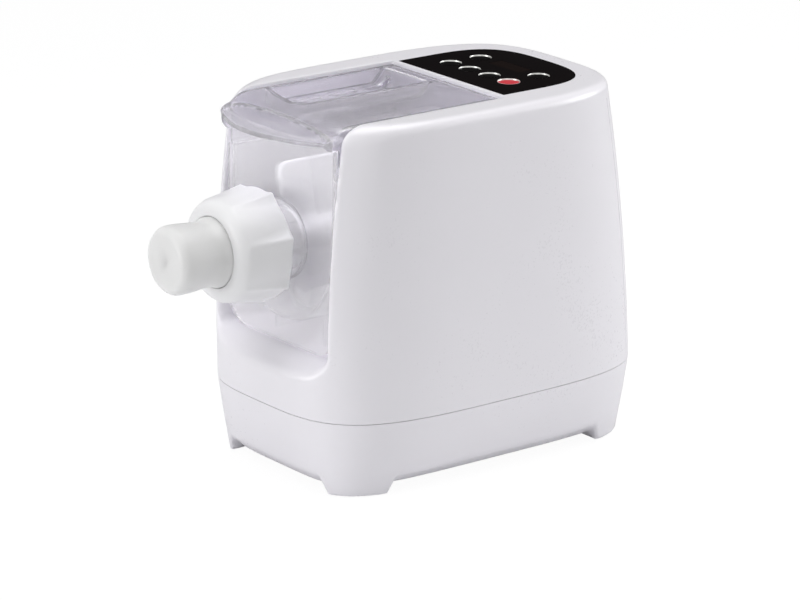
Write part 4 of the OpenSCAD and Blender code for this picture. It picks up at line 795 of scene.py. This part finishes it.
# ---------------------------------------------------------------------------------------------------------
# Studio. A pale floor and a white surround that only the camera, clear plastic and mirror-like surfaces see
# at full strength, apart from a grey curtain behind the machine that keeps the black panel dark. Broad lamps
# from the front, the right, the rear right and above model the white casing.
floor_half, floor_glow, floor_share = 6, 1.05, 0.9
diffuse_share, curtain_share = 0.17, 0.2
curtain_way, curtain_edge, curtain_full = (-0.75, 0.585, 0.308), 0.80, 0.95
floor_mesh = bpy.data.meshes.new("floor")
floor_corners = [(-floor_half, -floor_half, 0), (floor_half, -floor_half, 0),
                 (floor_half, floor_half, 0), (-floor_half, floor_half, 0)]
floor_mesh.from_pydata(floor_corners, [], [(0, 1, 2, 3)])
floor = bpy.data.objects.new("floor", floor_mesh)
bpy.context.scene.collection.objects.link(floor)
floor_paint = bpy.data.materials.new("floor_paint")
floor_paint.use_nodes = True
tree = floor_paint.node_tree
tree.nodes["Principled BSDF"].inputs["Base Color"].default_value = (0.9, 0.9, 0.91, 1)
tree.nodes["Principled BSDF"].inputs["Roughness"].default_value = 0.6
light = value_node(tree, "ShaderNodeLightPath")
glow = value_node(tree, "ShaderNodeEmission", {"Color": (1, 1, 1, 1), "Strength": floor_glow})
share = value_node(tree, "ShaderNodeMath", {0: light.outputs["Is Camera Ray"], 1: floor_share},
                   operation="MULTIPLY")
mixed = value_node(tree, "ShaderNodeMixShader", {0: share.outputs[0],
                                                 1: tree.nodes["Principled BSDF"].outputs[0],
                                                 2: glow.outputs[0]})
tree.links.new(mixed.outputs[0], tree.nodes["Material Output"].inputs["Surface"])
floor_mesh.materials.append(floor_paint)

world = bpy.data.worlds.new("surround")
world.use_nodes = True
bpy.context.scene.world = world
tree = world.node_tree
light = value_node(tree, "ShaderNodeLightPath")
seen = value_node(tree, "ShaderNodeMath", {0: light.outputs["Is Camera Ray"],
                                           1: light.outputs["Is Transmission Ray"]}, operation="MAXIMUM")
where = value_node(tree, "ShaderNodeTexCoord").outputs["Generated"]
towards = value_node(tree, "ShaderNodeVectorMath", {0: where, 1: curtain_way}, operation="DOT_PRODUCT")
curtain = value_node(tree, "ShaderNodeMapRange", {"Value": towards.outputs["Value"], "From Min": curtain_edge,
                                                  "From Max": curtain_full, "To Min": 1.0,
                                                  "To Max": curtain_share}, interpolation_type="SMOOTHSTEP")
mirrored = value_node(tree, "ShaderNodeMix", {"Factor": light.outputs["Is Glossy Ray"], "A": diffuse_share,
                                              "B": curtain.outputs["Result"]})
strength = value_node(tree, "ShaderNodeMix", {"Factor": seen.outputs[0], "A": mirrored.outputs[0], "B": 1.0})
tree.links.new(strength.outputs[0], tree.nodes["Background"].inputs["Strength"])
tree.nodes["Background"].inputs["Color"].default_value = (1, 1, 1, 1)


def lamp(name, at, aim, size, power):
    """A broad square lamp at a place in metres, turned towards another."""
    item = bpy.data.objects.new(name, bpy.data.lights.new(name, "AREA"))
    item.data.shape, item.data.size, item.data.energy = "SQUARE", size, power
    item.location = at
    item.rotation_euler = (Vector(aim) - Vector(at)).to_track_quat("-Z", "Y").to_euler()
    bpy.context.scene.collection.objects.link(item)


lamp("front", (-0.5, -2.0, 0.35), (0, 0, 0.1), 1.0, 15.5)
lamp("top", (0.1, 0.2, 2.0), (0, 0, 0.1), 1.4, 21)
lamp("right", (1.7, -0.7, 0.15), (0, 0, 0.1), 1.0, 4.8)
lamp("rearright", (0.9, 2.0, 0.9), (0, 0, 0.12), 1.0, 19)
lamp("topfront", (-0.2, -1.3, 1.7), (0, 0, 0.12), 1.2, 8.5)
bpy.context.scene.view_settings.view_transform = "Standard"
